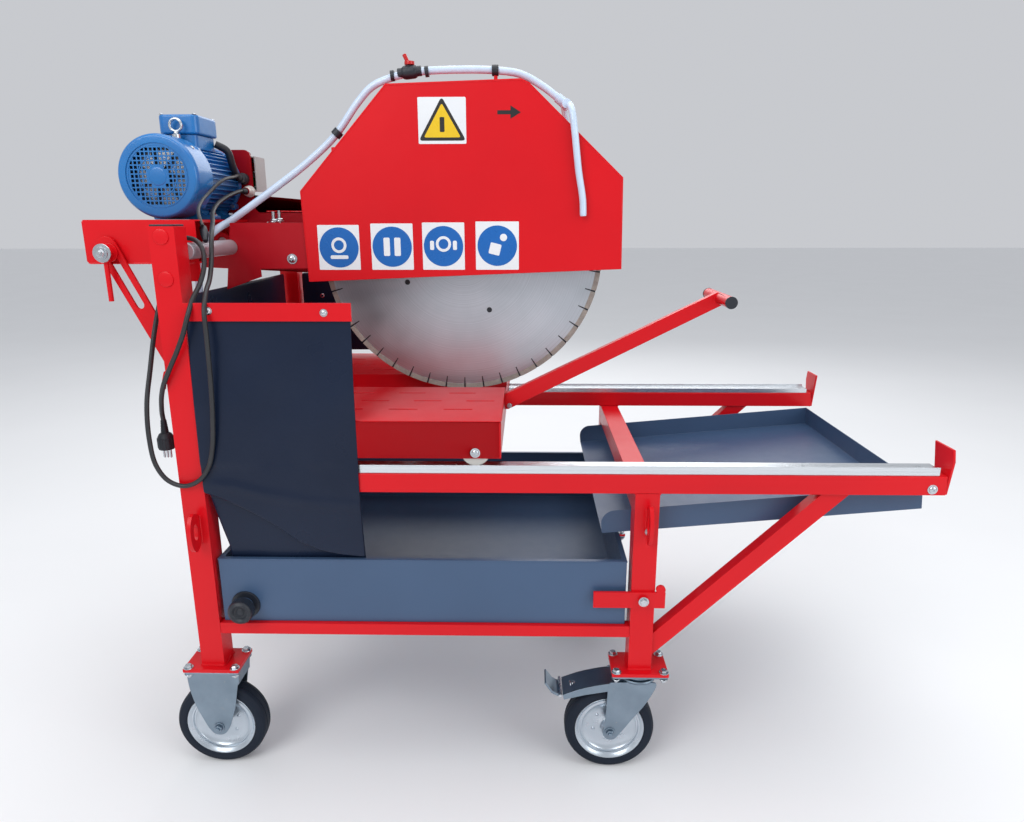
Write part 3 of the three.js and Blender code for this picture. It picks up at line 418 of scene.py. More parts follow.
def tube(path, radius, sides=12, closed=False):
    """A round tube along a list of points; radius is a number or one per point."""
    pts = [Vector(p) for p in path]
    n = len(pts)
    radii = radius if isinstance(radius, (list, tuple)) else [radius] * n
    verts, rings = [], []
    tangent = (pts[1] - pts[0]).normalized()
    side = tangent.orthogonal().normalized()
    for i, p in enumerate(pts):
        before = pts[i - 1] if i or closed else p
        after = pts[(i + 1) % n] if i < n - 1 or closed else p
        new = (after - before).normalized()
        side = (tangent.rotation_difference(new) @ side).normalized()
        tangent = new
        other = tangent.cross(side)
        ring = []
        for k in range(sides):
            a = TAU * k / sides
            ring.append(len(verts))
            verts.append(tuple(p + (side * cos(a) + other * sin(a)) * radii[i]))
        rings.append(ring)
    pairs = zip(rings, rings[1:] + rings[:1] if closed else rings[1:])
    faces = [[a[k], a[(k + 1) % sides], b[(k + 1) % sides], b[k]] for a, b in pairs for k in range(sides)]
    if not closed:
        faces += [list(reversed(rings[0])), rings[-1]]
    return verts, faces


def hex_bolt(at, direction, size, washer=True):
    """A hexagon head on a washer; size is the thread diameter."""
    base = size * 0.2 if washer else 0.0
    head = [(0, base), (size * 0.86, base), (size * 0.92, base + size * 0.06),
        (size * 0.92, base + size * 0.5), (size * 0.78, base + size * 0.64), (0, base + size * 0.64)]
    shapes = [revolved(head, steps=6, start=random.random())]
    if washer:
        ring = [(0, 0), (size * 1.2, 0), (size * 1.25, base * 0.4), (size * 1.2, base), (0, base)]
        shapes.append(revolved(ring, steps=28))
    return placed(merged(*shapes), at, direction)


def nut_bolt(at, direction, size):
    """A nut with the thread's end standing out of it."""
    end = [(0, size * 0.8), (size * 0.5, size * 0.8), (size * 0.5, size * 1.15), (size * 0.42, size * 1.25),
        (0, size * 1.25)]
    return merged(hex_bolt(at, direction, size), placed(revolved(end, steps=16), at, direction))


def dome_bolt(at, direction, size):
    """A button head with its key socket, on a washer."""
    ring = [(0, 0), (size * 1.25, 0), (size * 1.3, size * 0.1), (size * 1.25, size * 0.2), (0, size * 0.2)]
    head = [(0, size * 0.2), (size * 0.95, size * 0.2), (size * 0.93, size * 0.34),
        (size * 0.75, size * 0.56), (size * 0.34, size * 0.68), (size * 0.30, size * 0.40), (0, size * 0.40)]
    return placed(merged(revolved(ring, steps=28), revolved(head, steps=24)), at, direction)


def weld(points, radius=2.6):
    """A weld seam: a small bead with its ripples."""
    path = smooth_path(points, per=1) if len(points) > 2 else [Vector(p) for p in points]
    dense = []
    for a, b in zip(path, path[1:]):
        count = max(2, int((b - a).length / 2.4))
        dense += [a.lerp(b, k / count) for k in range(count)]
    dense.append(path[-1])
    radii = [radius * (0.82 + 0.26 * abs(sin(i * 1.15)) + 0.12 * random.random()) for i in range(len(dense))]
    return tube(dense, radii, sides=8)


# ---------------- making pieces
def ease(obj, width, angle=38):
    """Rounded edges, with the flats kept flat in the shading."""
    if width:
        bevel = obj.modifiers.new("edges", "BEVEL")
        bevel.width = width * MM
        bevel.segments = 2
        bevel.limit_method = "ANGLE"
        bevel.angle_limit = radians(angle)
        bevel.harden_normals = False
    shade = obj.modifiers.new("shading", "WEIGHTED_NORMAL")
    shade.keep_sharp = True
    shade.weight = 80


def piece(name, shape, look, body, edge=0.0, replaces=(), sharp=40, ride=True):
    """Turns a shape, or a list of them, into a finished piece that rides on a body unless ride is off."""
    verts, faces = merged(*shape) if isinstance(shape, list) else shape
    mesh = bpy.data.meshes.new(name)
    mesh.from_pydata([metres(v) for v in verts], [], faces)
    work = bmesh.new()
    work.from_mesh(mesh)
    bmesh.ops.remove_doubles(work, verts=work.verts, dist=2e-6)
    bmesh.ops.recalc_face_normals(work, faces=work.faces)
    for face in work.faces:
        face.smooth = True
    if not edge:
        for e in work.edges:
            if len(e.link_faces) == 2 and e.calc_face_angle(0) > radians(sharp):
                e.smooth = False
    work.to_mesh(mesh)
    work.free()
    mesh.materials.append(look)
    obj = add(name, mesh)
    ease(obj, edge)
    if ride:
        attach(obj, body)
    if replaces:
        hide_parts(*replaces)
    return obj


def finish_node(name, look, edge):
    """Gives a carried-over CAD node its material, joined faces and eased edges."""
    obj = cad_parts[name]
    if not obj.data.materials:
        obj.data.materials.append(look)
    for place in obj.material_slots:
        place.link = "OBJECT"
        place.material = look
    for polygon in obj.data.polygons:
        polygon.use_smooth = True
    join = obj.modifiers.new("join", "WELD")
    join.merge_threshold = 2e-5
    flat = obj.modifiers.new("flats", "DECIMATE")
    flat.decimate_type = "DISSOLVE"
    flat.angle_limit = radians(1.5)
    ease(obj, edge, angle=30)


# ---------------- camera, light and floor
VIEW = {"at": (-247.2, -1390.3, 1219.8), "yaw": -0.020894, "pitch": 0.258192, "roll": -0.001806}
FOCAL_SHARE = 726.393 / 1024  # focal length over picture width


def make_camera():
    data = bpy.data.cameras.new("camera")
    data.sensor_width = 36
    data.lens = 36 * FOCAL_SHARE
    data.clip_end = 50
    cam = add("camera", data)
    yaw, pitch, roll = VIEW["yaw"], VIEW["pitch"], VIEW["roll"]
    ahead = Vector((sin(yaw) * cos(pitch), cos(yaw) * cos(pitch), -sin(pitch)))
    right = Vector((cos(yaw), -sin(yaw), 0))
    up = right.cross(ahead)
    right_r = right * cos(roll) + up * sin(roll)
    up_r = up * cos(roll) - right * sin(roll)
    turn = Matrix((right_r, up_r, -ahead)).transposed()
    cam.matrix_world = Matrix.Translation(metres(VIEW["at"])) @ turn.to_4x4()
    bpy.context.scene.camera = cam


def make_light(name, at, size, energy, aim=(-0.0, 0.0, 0.75), colour=(1, 1, 1)):
    data = bpy.data.lights.new(name, "AREA")
    data.shape = "RECTANGLE"
    data.size, data.size_y = size
    data.energy = energy
    data.color = colour
    lamp = add(name, data)
    lamp.location = at
    lamp.rotation_euler = (Vector(aim) - Vector(at)).to_track_quat("-Z", "Y").to_euler()


def make_stage():
    world = bpy.data.worlds.new("studio")
    world.use_nodes = True
    world.node_tree.nodes["Background"].inputs["Color"].default_value = (0.93, 0.95, 1.0, 1)
    world.node_tree.nodes["Background"].inputs["Strength"].default_value = 0.62
    bpy.context.scene.world = world
    make_light("key", (-2.2, -3.6, 3.6), (2.6, 2.6), 94)
    make_light("fill", (3.4, -2.6, 2.2), (2.4, 2.4), 44)
    make_light("top", (0.2, 0.2, 4.6), (4.5, 3.5), 84)
    make_light("back", (0.4, 4.2, 3.0), (3.5, 2.0), 44)
    look = material("pale_floor", (0.86, 0.87, 0.88), 0.7, tint=((0.84, 0.85, 0.86), 1.5))
    mesh = bpy.data.meshes.new("floor")
    half = 30
    mesh.from_pydata([(-half, -half, 0), (half, -half, 0), (half, half, 0), (-half, half, 0)], [],
        [(0, 1, 2, 3)])
    mesh.materials.append(look)
    add("floor", mesh)
    view = bpy.context.scene.view_settings
    view.view_transform = "Standard"
    view.look = "None"
    view.exposure = 0.0


make_camera()
make_stage()

# ---------------- supply cord
CORD_RADIUS = 4.75
CORD_ROUTE = [
    (-943, 468, 1288), (-944, 440, 1287), (-947, 380, 1276), (-949, 310, 1256), (-938, 250, 1236),
    (-915, 190, 1216), (-897, 140, 1201), (-887, 108, 1180), (-881, 86, 1146), (-875, 54, 1108),
    (-869, 16, 1084), (-865, -10, 1052), (-863, -16, 1000), (-865, -15, 915), (-869, -15, 840),
    (-877, -14, 776), (-890, -13, 735), (-914, -11, 706), (-947, -9, 694), (-979, -8, 706),
    (-1001, -5, 738), (-1010, 0, 790), (-1012, 12, 860), (-1006, 32, 930), (-997, 54, 1010),
    (-980, 70, 1084), (-961, 76, 1138), (-953, 75, 1164), (-939, 73, 1180), (-920, 71, 1185),
    (-901, 68, 1180), (-887, 62, 1164), (-882, 50, 1132), (-886, 30, 1098), (-892, 6, 1072),
    (-898, -11, 1040), (-910, -15, 1004), (-926, -13, 972), (-946, -11, 936), (-963, -7, 905),
    (-977, 6, 877), (-988, 22, 851), (-993.5, 31.5, 836), (-995, 36, 822),
]


def make_plug():
    x, y, z = CORD_ROUTE[-1]
    top = z - 0.4
    sleeve = [(0, 0), (5.4, 0)]
    for k in range(7):
        t = 3 + k * 3.4
        sleeve += [(6.0 + k * 0.35, t), (6.0 + k * 0.35, t + 1.8), (5.0 + k * 0.35, t + 2.1),
            (5.0 + k * 0.35, t + 3.1)]
    sleeve += [(9, 27), (14, 30), (18, 36), (19, 44), (19, 56), (18.6, 60), (17.5, 62), (0, 62)]
    body = revolved([(min(r, r * 0.80 + 1.2), -t) for r, t in sleeve], (x, y, top), "z", 40)
    ribs = [tube([(u, v, top - 38), (u, v, top - 58)], 1.2, 6) for u, v in circle(x, y, 15.9, 16)]
    plug = piece("plug_body", [body, *ribs], RUBBER, "frame", replaces=("plug",))
    pins = [revolved([(0, 0), (2.4, 0), (2.4, -17), (1.4, -19.5), (0, -19.5)], (x + d, y, top - 62), "z", 16)
        for d in (-7, 0, 7)]
    blades = piece("plug_pins", pins, ZINC, "frame")
    return plug, blades


def make_cord():
    path = smooth_path(CORD_ROUTE, 10)
    cord = piece("supply_cord", tube(path, CORD_RADIUS, 14), CORD, "frame",
        replaces=("power_cord",), ride=False)
    points = [tuple(metres(p)) for p in path]
    length = sum((Vector(b) - Vector(a)).length for a, b in zip(points, points[1:]))
    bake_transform(cord)
    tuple(points[0])
    make_plug()


make_cord()

# ---------------- carried-over frame pieces
FINISHES = (
    (RED, 2.2, "side_rail_near side_rail_far front_crossbar"),
    (RED, 1.6, "rear_leg_near rear_leg_far front_leg_near front_leg_far head_frame"),
    (RED, 1.3, "blade_guard"),
    (RED, 1.2, "end_stop_near end_stop_far lower_frame cart_handle"),
    (RED, 1.0, "spindle_housing"),
    (RED, 0.9, "belt_guard"),
    (RED, 0.8, "tank_latch slotted_link"),
    (RED, 0.6, "clamp_handle"),
    # the swing arm wears the painted-shade copy of the red powder coat
    (SHADED_RED, 1.0, "swing_arm"),
    (ALUMINIUM, 0.7, "track_near track_far"),
    (FORK_ZINC, 0.6, "brake_pedal_near brake_pedal_far"),
    (NYLON, 1.2, "roller_rear_near roller_rear_far roller_front_near roller_front_far"),
    (ANTHRACITE, 0.7, "tank catch_tray"),
    (GREY, 1.6, "switch_box"),
    (GREEN_PLASTIC, 1.0, "start_button"),
    (RED_PLASTIC, 1.0, "stop_button valve_lever"),
    (STEEL, 0.6, "blade_spindle"),
    (STEEL, 0.5, "countershaft motor_rotor"),
    (RUBBER, 0.8, "motor_belt arm_belt"),
)
for look, edge, names in FINISHES:
    for name in names.split():
        finish_node(name, look, edge)

# ---------------- casters
WHEEL_R = 100
AXLE_Z = 117


def both_faces(half):
    """A turned section that is the same on both sides, from one half."""
    return half + [(r, -t) for r, t in reversed(half)] + [half[0]]


def make_wheel(name, x, y):
    tread = both_faces([(76.5, -18), (78, -21.5), (82, -23), (90, -22.6), (92, -21.2), (94, -21.6),
        (97.6, -18.5), (99.4, -14), (99.9, -9), (98.4, -8.2), (98.4, -6.6), (WHEEL_R, -5.8)])
    piece(f"tyre_{name}", revolved(tread, (x, y, AXLE_Z), "y", 96), TYRE, name, replaces=(name,), sharp=50)
    rim = both_faces([(6.6, 27), (16.5, 27), (17.5, 26), (17.5, 12), (20, 9), (27, 6.5), (44, 5.5), (54, 8),
        (60, 11.5), (61.5, 13.4), (64.5, 13.2), (66, 16.0), (69, 15.8), (71, 17.6), (74.5, 20.6),
        (76.6, 21.4), (77.4, 20.4), (76.2, 18.6)])
    rivet = revolved([(0, 2.6), (2.4, 2.1), (4.2, 0.2), (4.2, -1), (0, -1)], steps=16)
    rivets = [placed(rivet, (u, y + s * 5.4, v), (0, s, 0)) for u, v in circle(x, AXLE_Z, 36, 6, 0.3)
        for s in (-1, 1)]
    piece(f"rim_{name}", [revolved(rim, (x, y, AXLE_Z), "y", 72), *rivets], RIM_ZINC, name, sharp=45)


def fork_sides(outline, y, inner=29.3, thick=3.6):
    return merged(prism(outline, "xz", y - inner - thick, y - inner),
        prism(outline, "xz", y + inner, y + inner + thick))


def axle(x, y):
    shaft = revolved(rect(0, -36, 6, 36), (x, y, AXLE_Z), "y", 20)
    nut = nut_bolt((x, y - 33, AXLE_Z), (0, -1, 0), 10)
    return merged(shaft, nut, hex_bolt((x, y + 33, AXLE_Z), (0, 1, 0), 10))


def caster_top(x, y, bottom):
    return slab(rounded(rect(x - 60.5, y - 41.5, x + 60.5, y + 41.5), 6), [], "xy", bottom, 262.7, 0.6)


def make_rear_caster(side, y):
    x = -935
    cheek = rounded([(x - 59, 259), (x - 56, 215), (x - 46, 170), (x - 24, 116), (x - 11, 98), (x + 11, 98),
        (x + 24, 116), (x + 42, 170), (x + 54, 236), (x + 59, 259)], 12)
    lips = [prism([(x - 58 * s, 257), (x - 55 * s, 228), (x - 51 * s, 228), (x - 53 * s, 257)], "xz",
        y - 33, y + 33) for s in (-1, 1)]
    piece(f"rear_caster_{side}", [caster_top(x, y, 257.7), fork_sides(cheek, y), *lips, axle(x, y)],
        FORK_ZINC, "frame", edge=0.6, replaces=(f"rear_fork_{side}",))
    make_wheel(f"rear_wheel_{side}", x, y)


def make_front_caster(side, y):
    body = f"front_caster_{side}"
    x = -60
    cheek = rounded([(-67, 244), (40, 244), (33, 222), (13, 185), (-11, 153), (-36, 116), (-50, 98),
        (-64, 97), (-76, 108), (-74, 125), (-70, 164)], 12)
    upper = [(-22, 245), (-72, 239), (-124, 227), (-166, 211)]
    lower = [(-163, 199), (-118, 211), (-70, 220), (-22, 226)]
    strap = [(p.x, p.z) for p in smooth_path([(u, 0, v) for u, v in upper], 6)]
    under = [(u, v - 3.2) for u, v in reversed(strap)]
    crown = prism(strap + under, "xz", y - 32.4, y + 32.4)
    flanges = [prism(strap + lower, "xz", y + at, y + at + 3) for at in (-32.6, 29.6)]
    race = revolved([(0, 236), (28, 236), (36, 240), (40, 243), (42, 246.5), (40.5, 249.6), (33, 250.4),
        (33, 253.6), (40, 254.2), (42, 256.6), (40, 258.4), (0, 258.4)], (0, y, 0), "z", 56)
    king = revolved([(0, 228), (9, 228), (11, 230), (11, 237), (0, 237)], (0, y, 0), "z", 6)
    piece(f"front_caster_fork_{side}", [race, king, fork_sides(cheek, y), crown, *flanges, axle(x, y)],
        FORK_ZINC, body, edge=0.6, replaces=(f"front_fork_{side}",))
    piece(f"front_caster_plate_{side}", caster_top(0, y, 258.6), FORK_ZINC, "frame")
    make_wheel(f"front_wheel_{side}", x, y)
    pin = revolved(rect(0, -34, 4, 34), (-171, y, 209), "y", 16)
    coil = [(-150 + 1.2 * k, y + 9 * cos(k * 1.6), 214 + 9 * sin(k * 1.6)) for k in range(14)]
    piece(f"brake_pin_{side}", [pin, tube(smooth_path(coil, 4), 1.3, 6)], ZINC, body)


for side, y in (("near", 25.0), ("far", DEPTH - 25.0)):
    make_rear_caster(side, y)
    make_front_caster(side, y)

# ---------------- fixings, caps, plugs and welds on the frame
def frame_fixings():
    bolts, welds = [], []
    for x in (-935, 0):
        corner = [(x + 51 * i, 25 + 34.5 * j, 271) for i in (-1, 1) for j in (-1, 1)]
        bolts += [hex_bolt(c, (0, 0, 1), 8.5) for c in corner]
        bolts += [nut_bolt((cx, cy, 257.4), (0, 0, -1), 8) for cx, cy, _ in corner]
        ring = [(u, v, 272) for u, v in rect(x - 25, 0, x + 25, 50)]
        welds += [weld([a, b]) for a, b in zip(ring, ring[1:] + ring[:1])]
    seams = []
    for x, z0, z1 in ((-931, 566, 626), (4, 588, 648)):
        seams += [((x + side, 0, z0), (x + side, 0, z1), 2.0) for side in (-5, 5)]
    for y in (10, 40):
        seams += [((25, y, 300), (25, y, 352), 2.2), ((357, y, 678.6), (413, y, 678.6), 2.2)]
    seams += [((-909.8, 0, z), (-909.8, 50, z), 2.2) for z in (679, 719)]
    seams += [((x, 0, 678.8), (x, 50, 678.8), 2.2) for x in (-25, 25)]
    seams.append(((598, 6, 679.5), (598, 44, 679.5), 2.0))
    welds += [weld([a, b], radius) for a, b, radius in seams]
    cap = slab(rounded(rect(-958.4, 1.6, -911.6, 48.4), 4), [], "xy", 1206, 1211.5, 1.2)
    disc = revolved([(0, 3.2), (11.5, 3.0), (14.2, 2.2), (15, 0.6), (15, 0), (0, 0)], steps=40)
    caps = [cap, block(-956, 4, 1190, -914, 46, 1207)]
    discs = [placed(disc, (-936, 0, z), (0, -1, 0)) for z in (1189, 1110)]
    bolts += [dome_bolt((570, 0.2, 692), (0, -1, 0), 8), dome_bolt((5, -5, 598), (0, -1, 0), 7)]
    for group, name, look in ((bolts, "frame_bolts", ZINC), (welds, "frame_welds", RED),
            (caps, "leg_caps", BLACK), (discs, "leg_discs", RED)):
        shape = merged(*group)
        piece(f"{name}_near", shape, look, "frame", sharp=35)
        piece(f"{name}_far", mirrored(shape), look, "frame", sharp=35)
    screw = revolved([(0, 0.2), (5.0, 0.2), (5.6, 0.1), (5.8, -1.0), (0, -1.0)], steps=20)
    screws = merged(*(placed(screw, (x, 27, 732), (0, 0, 1)) for x in range(-860, 580, 235)))
    piece("track_screws_near", screws, ZINC, "frame", sharp=30)
    piece("track_screws_far", mirrored(screws), ZINC, "frame", sharp=30)
    bar = [dome_bolt((x, -2, z), (0, -1, 0), 6) for x, z in ((-861, 1050), (-637.5, 1046.5))]
    piece("curtain_bar_bolts", bar, ZINC, "frame", sharp=35)
    hook = prism(rounded([(-959.5, 930), (-966, 930), (-973, 906), (-973, 892), (-968, 892), (-966, 903),
        (-959.5, 906)], 3), "xz", 5, 11)
    piece("cord_hook", hook, RED, "frame", edge=0.6)
    far_bar = block(-907, 758, 985, -585, 763, 1021)
    piece("far_curtain_bar", far_bar, RED, "frame", edge=0.8)
    far_bolts = [dome_bolt((x, y, 1003), (0, way, 0), 8) for y, way in ((758, -1), (763, 1))
        for x in (-850, -640)]
    piece("far_curtain_bar_bolts", far_bolts, ZINC, "frame", sharp=35)
    piece("tank_latch_bolt", hex_bolt((0, -12, 442), (0, -1, 0), 9), ZINC, "tank_latch", sharp=30)


frame_fixings()

# ---------------- splash curtains
CURTAIN_THICKNESS = 2.6


def curtain(name, rows, wave, replaces):
    """A hanging rubber sheet from rows of points, top to bottom, with bulges from wave(share, point)."""
    cols = len(rows[0])
    verts = [Vector(q) + wave(i / (len(rows) - 1), Vector(q)) for i, row in enumerate(rows) for q in row]
    faces = [[i * cols + j, i * cols + j + 1, (i + 1) * cols + j + 1, (i + 1) * cols + j]
        for i in range(len(rows) - 1) for j in range(cols - 1)]
    mesh = bpy.data.meshes.new(name)
    mesh.from_pydata([metres(v) for v in verts], [], faces)
    for polygon in mesh.polygons:
        polygon.use_smooth = True
    mesh.materials.append(CURTAIN)
    obj = add(name, mesh)
    solid = obj.modifiers.new("thickness", "SOLIDIFY")
    solid.thickness = CURTAIN_THICKNESS * MM
    solid.offset = 0
    soft = obj.modifiers.new("soft", "SUBSURF")
    soft.levels = soft.render_levels = 1
    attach(obj, "frame")
    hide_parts(*replaces)


def along(points, x):
    """The second coordinate of a line of points where the first is x."""
    return float(np.interp(x, [p[0] for p in points], [p[1] for p in points]))


CURTAIN_HEM = [(-909.5, 678), (-880, 667), (-852, 654), (-808, 629), (-763, 597), (-725, 565), (-679, 543),
    (-639, 534), (-588, 528)]
CURTAIN_FOLD = [(-909.5, 695), (-843, 692), (-785, 674), (-694, 657), (-588, 649)]
CURTAIN_HANG = [(1063, 4.8), (1026, 4.8), (880, 1.0), (722, -3.6), (690, -4.0), (678, -4.0)]


def near_curtain():
    left, width, top, rail = -909.5, 321.5, 1063, 678
    cols, count = 44, 56
    rows = []
    for i in range(count + 1):
        row = []
        for k in range(cols + 1):
            x = left + width * k / cols
            z = top + (along(CURTAIN_HEM, x) - top) * i / count
            y = along([(-height, out) for height, out in CURTAIN_HANG], -z)
            row.append((x, y + 17 * (max(0.0, rail - z) / 150) ** 1.3, z))
        rows.append(row)

    def wave(share, q):
        hold = min(1, max(0, (1030 - q.z) / 160))
        dent = noise.noise(Vector((q.x * 0.010, 0.3, q.z * 0.0060))) * 5.5
        fold = -3.4 * exp(-((q.z - along(CURTAIN_FOLD, q.x)) / 11) ** 2) * min(1, (q.x - left) / 40)
        dy = hold * (dent - 1.5) * (1 if q.z > 735 else 0.35) + fold
        return Vector((0, min(dy, 1.0) if q.z > 670 else dy, 0))

    curtain("splash_curtain_near", rows, wave, ("curtain_near",))
    line = smooth_path([(6, 0, 677), (9, 0, 640), (16, 0, 580), (25, 0, 523), (29, 0, 505)], 7)
    rows = []
    for p in line:
        start = -904 + 25 * min(1, (677 - p.z) / 128)
        rows.append([(start + (-589 - start) * k / 30, p.x, p.z) for k in range(31)])

    def inner_wave(share, q):
        return Vector((0, 1.4 * share * sin(q.x * 0.035), 0))

    curtain("splash_curtain_inner", rows, inner_wave, ())


def rear_curtain():
    top, bottom = 1070, 566
    rows = [[(-946.5, 104 + 611 * k / 30, top + (bottom - top) * i / 40) for k in range(31)]
        for i in range(41)]

    def wave(share, q):
        ripple = noise.noise(Vector((q.y * 0.012, 1.7, q.z * 0.01)))
        return Vector((2.2 * share * sin(q.y * 0.021) + 1.5 * ripple, 0, 0))

    curtain("splash_curtain_rear", rows, wave, ("curtain_rear",))
    rows = [[(-907.5 + 322 * k / 22, 755.5, top - 228 * i / 18) for k in range(23)] for i in range(19)]

    def side_wave(share, q):
        return Vector((0, -1.2 * share * sin(q.x * 0.03) - 0.6, 0))

    curtain("splash_curtain_far", rows, side_wave, ())


near_curtain()
rear_curtain()

# ---------------- cart
CART = {"x0": -890, "x1": -299, "y0": 8, "y1": 765, "top": 829, "bottom": 750}


def make_cart():
    x0, x1, y0, y1, top, bottom = CART.values()
    sheet, under = 3, top - 1.2
    gap0, gap1 = MID_Y - 74, MID_Y + 74
    slots = {0: [], 1: []}
    for row_y, first in ((102, -425), (176, -382), (251, -428)):
        for x in range(first, x0 + 20, -117):
            slots[0].append(stadium(x, x + 63, row_y, 3))
            slots[1].append(stadium(x, x + 63, DEPTH - row_y, 3))
    deck = [slab(rect(x0, lo, x1, hi), slots[k], "xy", top - sheet, top, 0.8, 2)
        for k, (lo, hi) in enumerate(((y0, gap0), (gap1, y1)))]
    skirts = [block(x0, y0, bottom, x1, y0 + sheet, under), block(x0, y1 - sheet, bottom, x1, y1, under)]
    for x in (x0, x1 - sheet):
        for lo, hi, height in ((y0, gap0, under), (gap1, y1, under), (gap0, gap1, 800)):
            skirts.append(block(x, lo, bottom, x + sheet, hi, height))
    skirts += [block(x0 + 1, y, 778, x1 - 1, y + sheet, under) for y in (gap0 - sheet, gap1)]
    beams = [block(x, y0 + 1, bottom + 4, x + 30, y1 - 1, 784) for x in (-700, -520)]
    piece("cart_deck", deck, RED, "cart", sharp=60, replaces=("cart_table",))
    piece("cart_skirts", skirts, RED, "cart", edge=0.9)
    piece("cart_beams", beams, RED, "cart", edge=1.5)
    seams = [weld([(x0 + 3.5, 14, 822), (x0 + 3.5, 300, 822)], 1.6)]
    seams += [weld([(x1 - 1.5, y, 752), (x1 - 1.5, y, 826)], 1.8) for y in (y0 + 1.4, y1 - 1.4)]
    piece("cart_welds", seams, RED, "cart")
    bolts = []
    axle_z = 762.6
    for x in (-838, -351):
        bolts += [dome_bolt((x, y0, axle_z), (0, -1, 0), 8), dome_bolt((x, y1, axle_z), (0, 1, 0), 8)]
        for y, s in ((y0 + sheet, 1), (y1 - sheet, -1)):
            bolts.append(revolved(rect(0, 0, 5.8, 28 * s), (x, y, axle_z), "y", 16))
            bolts.append(nut_bolt((x, y + s * 26, axle_z), (0, s, 0), 9))
    bolts.append(hex_bolt((-288, 280, 792), (0, -1, 0), 5))
    piece("cart_bolts", bolts, ZINC, "cart", sharp=35)
    ends = [revolved([(0, 0), (13.4, 0), (13.4, 3 * s), (11.5, 4.6 * s), (0, 4.6 * s)], (192, y, 1045), "y",
        32) for y, s in ((185.8, 1), (394.2, -1))]
    piece("handle_end_caps", ends, BLACK, "cart", sharp=35)


make_cart()

# ---------------- tank and tray fittings
def tank_fittings():
    x0, x1, y0, y1, z = -902, -35, 10, 753, 523
    rim = slab(rect(x0 - 1, y0 - 1, x1 + 1, y1 + 1), [rect(x0 + 10, y0 + 10, x1 - 10, y1 - 10)], "xy",
        z - 2.2, z + 0.4, 0.6)
    piece("tank_rim", rim, ANTHRACITE, "frame", sharp=50)
    plug_x, plug_z = -852, 416
    knob = revolved([(18.8, 0), (25, 0), (26, -2), (26, -20), (24, -24), (19, -26.5), (15, -25), (13, -21),
        (9, -20), (7, -22), (0, -22.6), (0, -22.6)], (plug_x, -6.4, plug_z), "y", 48)
    grips = [tube([(u, -8.5, v), (u, -27, v)], 0.9, 6) for u, v in circle(plug_x, plug_z, 25.6, 20)]
    piece("drain_plug_cap", [knob, *grips], BLACK, "drain_plug", sharp=45, replaces=("drain_plug",))
    flange = revolved([(14, -1), (30, -1), (31, 0.5), (31, 3), (14, 3), (14, -1)], (plug_x, 6.6, plug_z),
        "y", 40)
    piece("drain_flange", flange, BLACK, "frame", sharp=40)


tank_fittings()

# ---------------- water line: pump, riser and the hose on the head
HOSE_R = 8


def make_water_line():
    px, py = -842, 262
    base = 378.8
    body = revolved([(0, 0), (44, 0), (48, 4), (48, 16), (46, 18), (48, 20), (48, 66), (45, 76), (34, 82),
        (22, 84), (20, 96), (12, 98), (12, 106), (0, 106)], (px, py, base), "z", 48)
    slots = [block(u - 1.6, v - 1.6, base + 5, u + 1.6, v + 1.6, base + 15)
        for u, v in circle(px, py, 47, 28)]
    piece("pump_body", [body, *slots], BLACK, "frame", replaces=("water_pump",), sharp=40)
    route = [(px, py, 484), (px, py, 500), (px - 12, py, 528), (-882, py, 545), (-925, py, 546),
        (-965, py, 556), (-990, py, 592), (-994, py, 660), (-994, py, 800), (-994, py, 960),
        (-992, py, 1070), (-986, py, 1130), (-972, 266, 1168), (-950, 280, 1196)]
    over_head = [(-918, 1219), (-876, 1246), (-801, 1296), (-742, 1337), (-671, 1397), (-616, 1466),
        (-584, 1497), (-544, 1514), (-501, 1524), (-464, 1528), (-385, 1530), (-316, 1528), (-262, 1520),
        (-212, 1494), (-167, 1461)]
    route += [(x, 300, z) for x, z in over_head]
    hose = piece("water_hose_main", tube(smooth_path(route, 6), HOSE_R, 16), HOSE, "head",
        replaces=("water_hose",), ride=False)
    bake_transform(hose)
    start = (-167, 300, 1461)
    drop = [(-147, 1400), (-137, 1320), (-127, 1262), (-125, 1226)]
    near = [start, (-159, 286, 1458), (-153, 264, 1440), *((x, 258, z) for x, z in drop)]
    far = [start, (-166, 380, 1470), (-155, 501.7, 1452), *((x, 507.7, z) for x, z in drop)]
    for name, route in (("near", near), ("far", far)):
        line = smooth_path(route, 8)
        radii = [HOSE_R - 0.5] * (len(line) - 1) + [HOSE_R - 1.5]
        piece(f"spray_hose_{name}", tube(line, radii, 16), HOSE, "head")
    tee = [tube([(-184, 300, 1474), (-160, 300, 1455)], 10.5, 20), tube([start, (-164, 280, 1459)], 10, 18),
        tube([start, (-164, 322, 1459)], 10, 18)]
    piece("hose_tee", tee, HOSE, "head", edge=0.8)


def make_valve():
    x, y, z = -501, 300, 1525.5
    axis = Vector((22, 0, 2.4)).normalized()
    half = [(10.4, 25), (10.4, 16), (12.5, 14), (14, 9)]
    barrel = [(0, -26), (9.6, -26), *((r, -t) for r, t in half), *reversed(half), (9.6, 26), (0, 26)]
    valve = placed(revolved(barrel, steps=28), (x, y, z), axis)
    neck = revolved([(0, 8), (9, 8), (9, 12), (7.5, 14), (0, 14)], (x, y, z), "z", 6)
    clamp = revolved([(8.4, -4), (11.2, -4), (11.2, 4), (8.4, 4), (8.4, -4)], steps=28)
    clamps = [placed(clamp, (x + s * 37, y, z + s * 4 - 3), axis) for s in (-1, 1)]
    piece("water_valve", [valve, neck], BLACK, "head", edge=0.7, replaces=("valve_body",))
    piece("valve_hose_clamps", clamps, BLACK, "head", sharp=35)
    clip = revolved([(7.8, -7), (11.5, -7), (11.5, 7), (7.8, 7), (7.8, -7)], steps=24)
    clips = [placed(clip, (x, 300, z), (cos(lean), 0, sin(lean))) for x, z, lean in
        ((-665, 1403, 0.80), (-317, 1528, 0.0))]
    piece("hose_clips", clips, BLACK, "head", sharp=35)


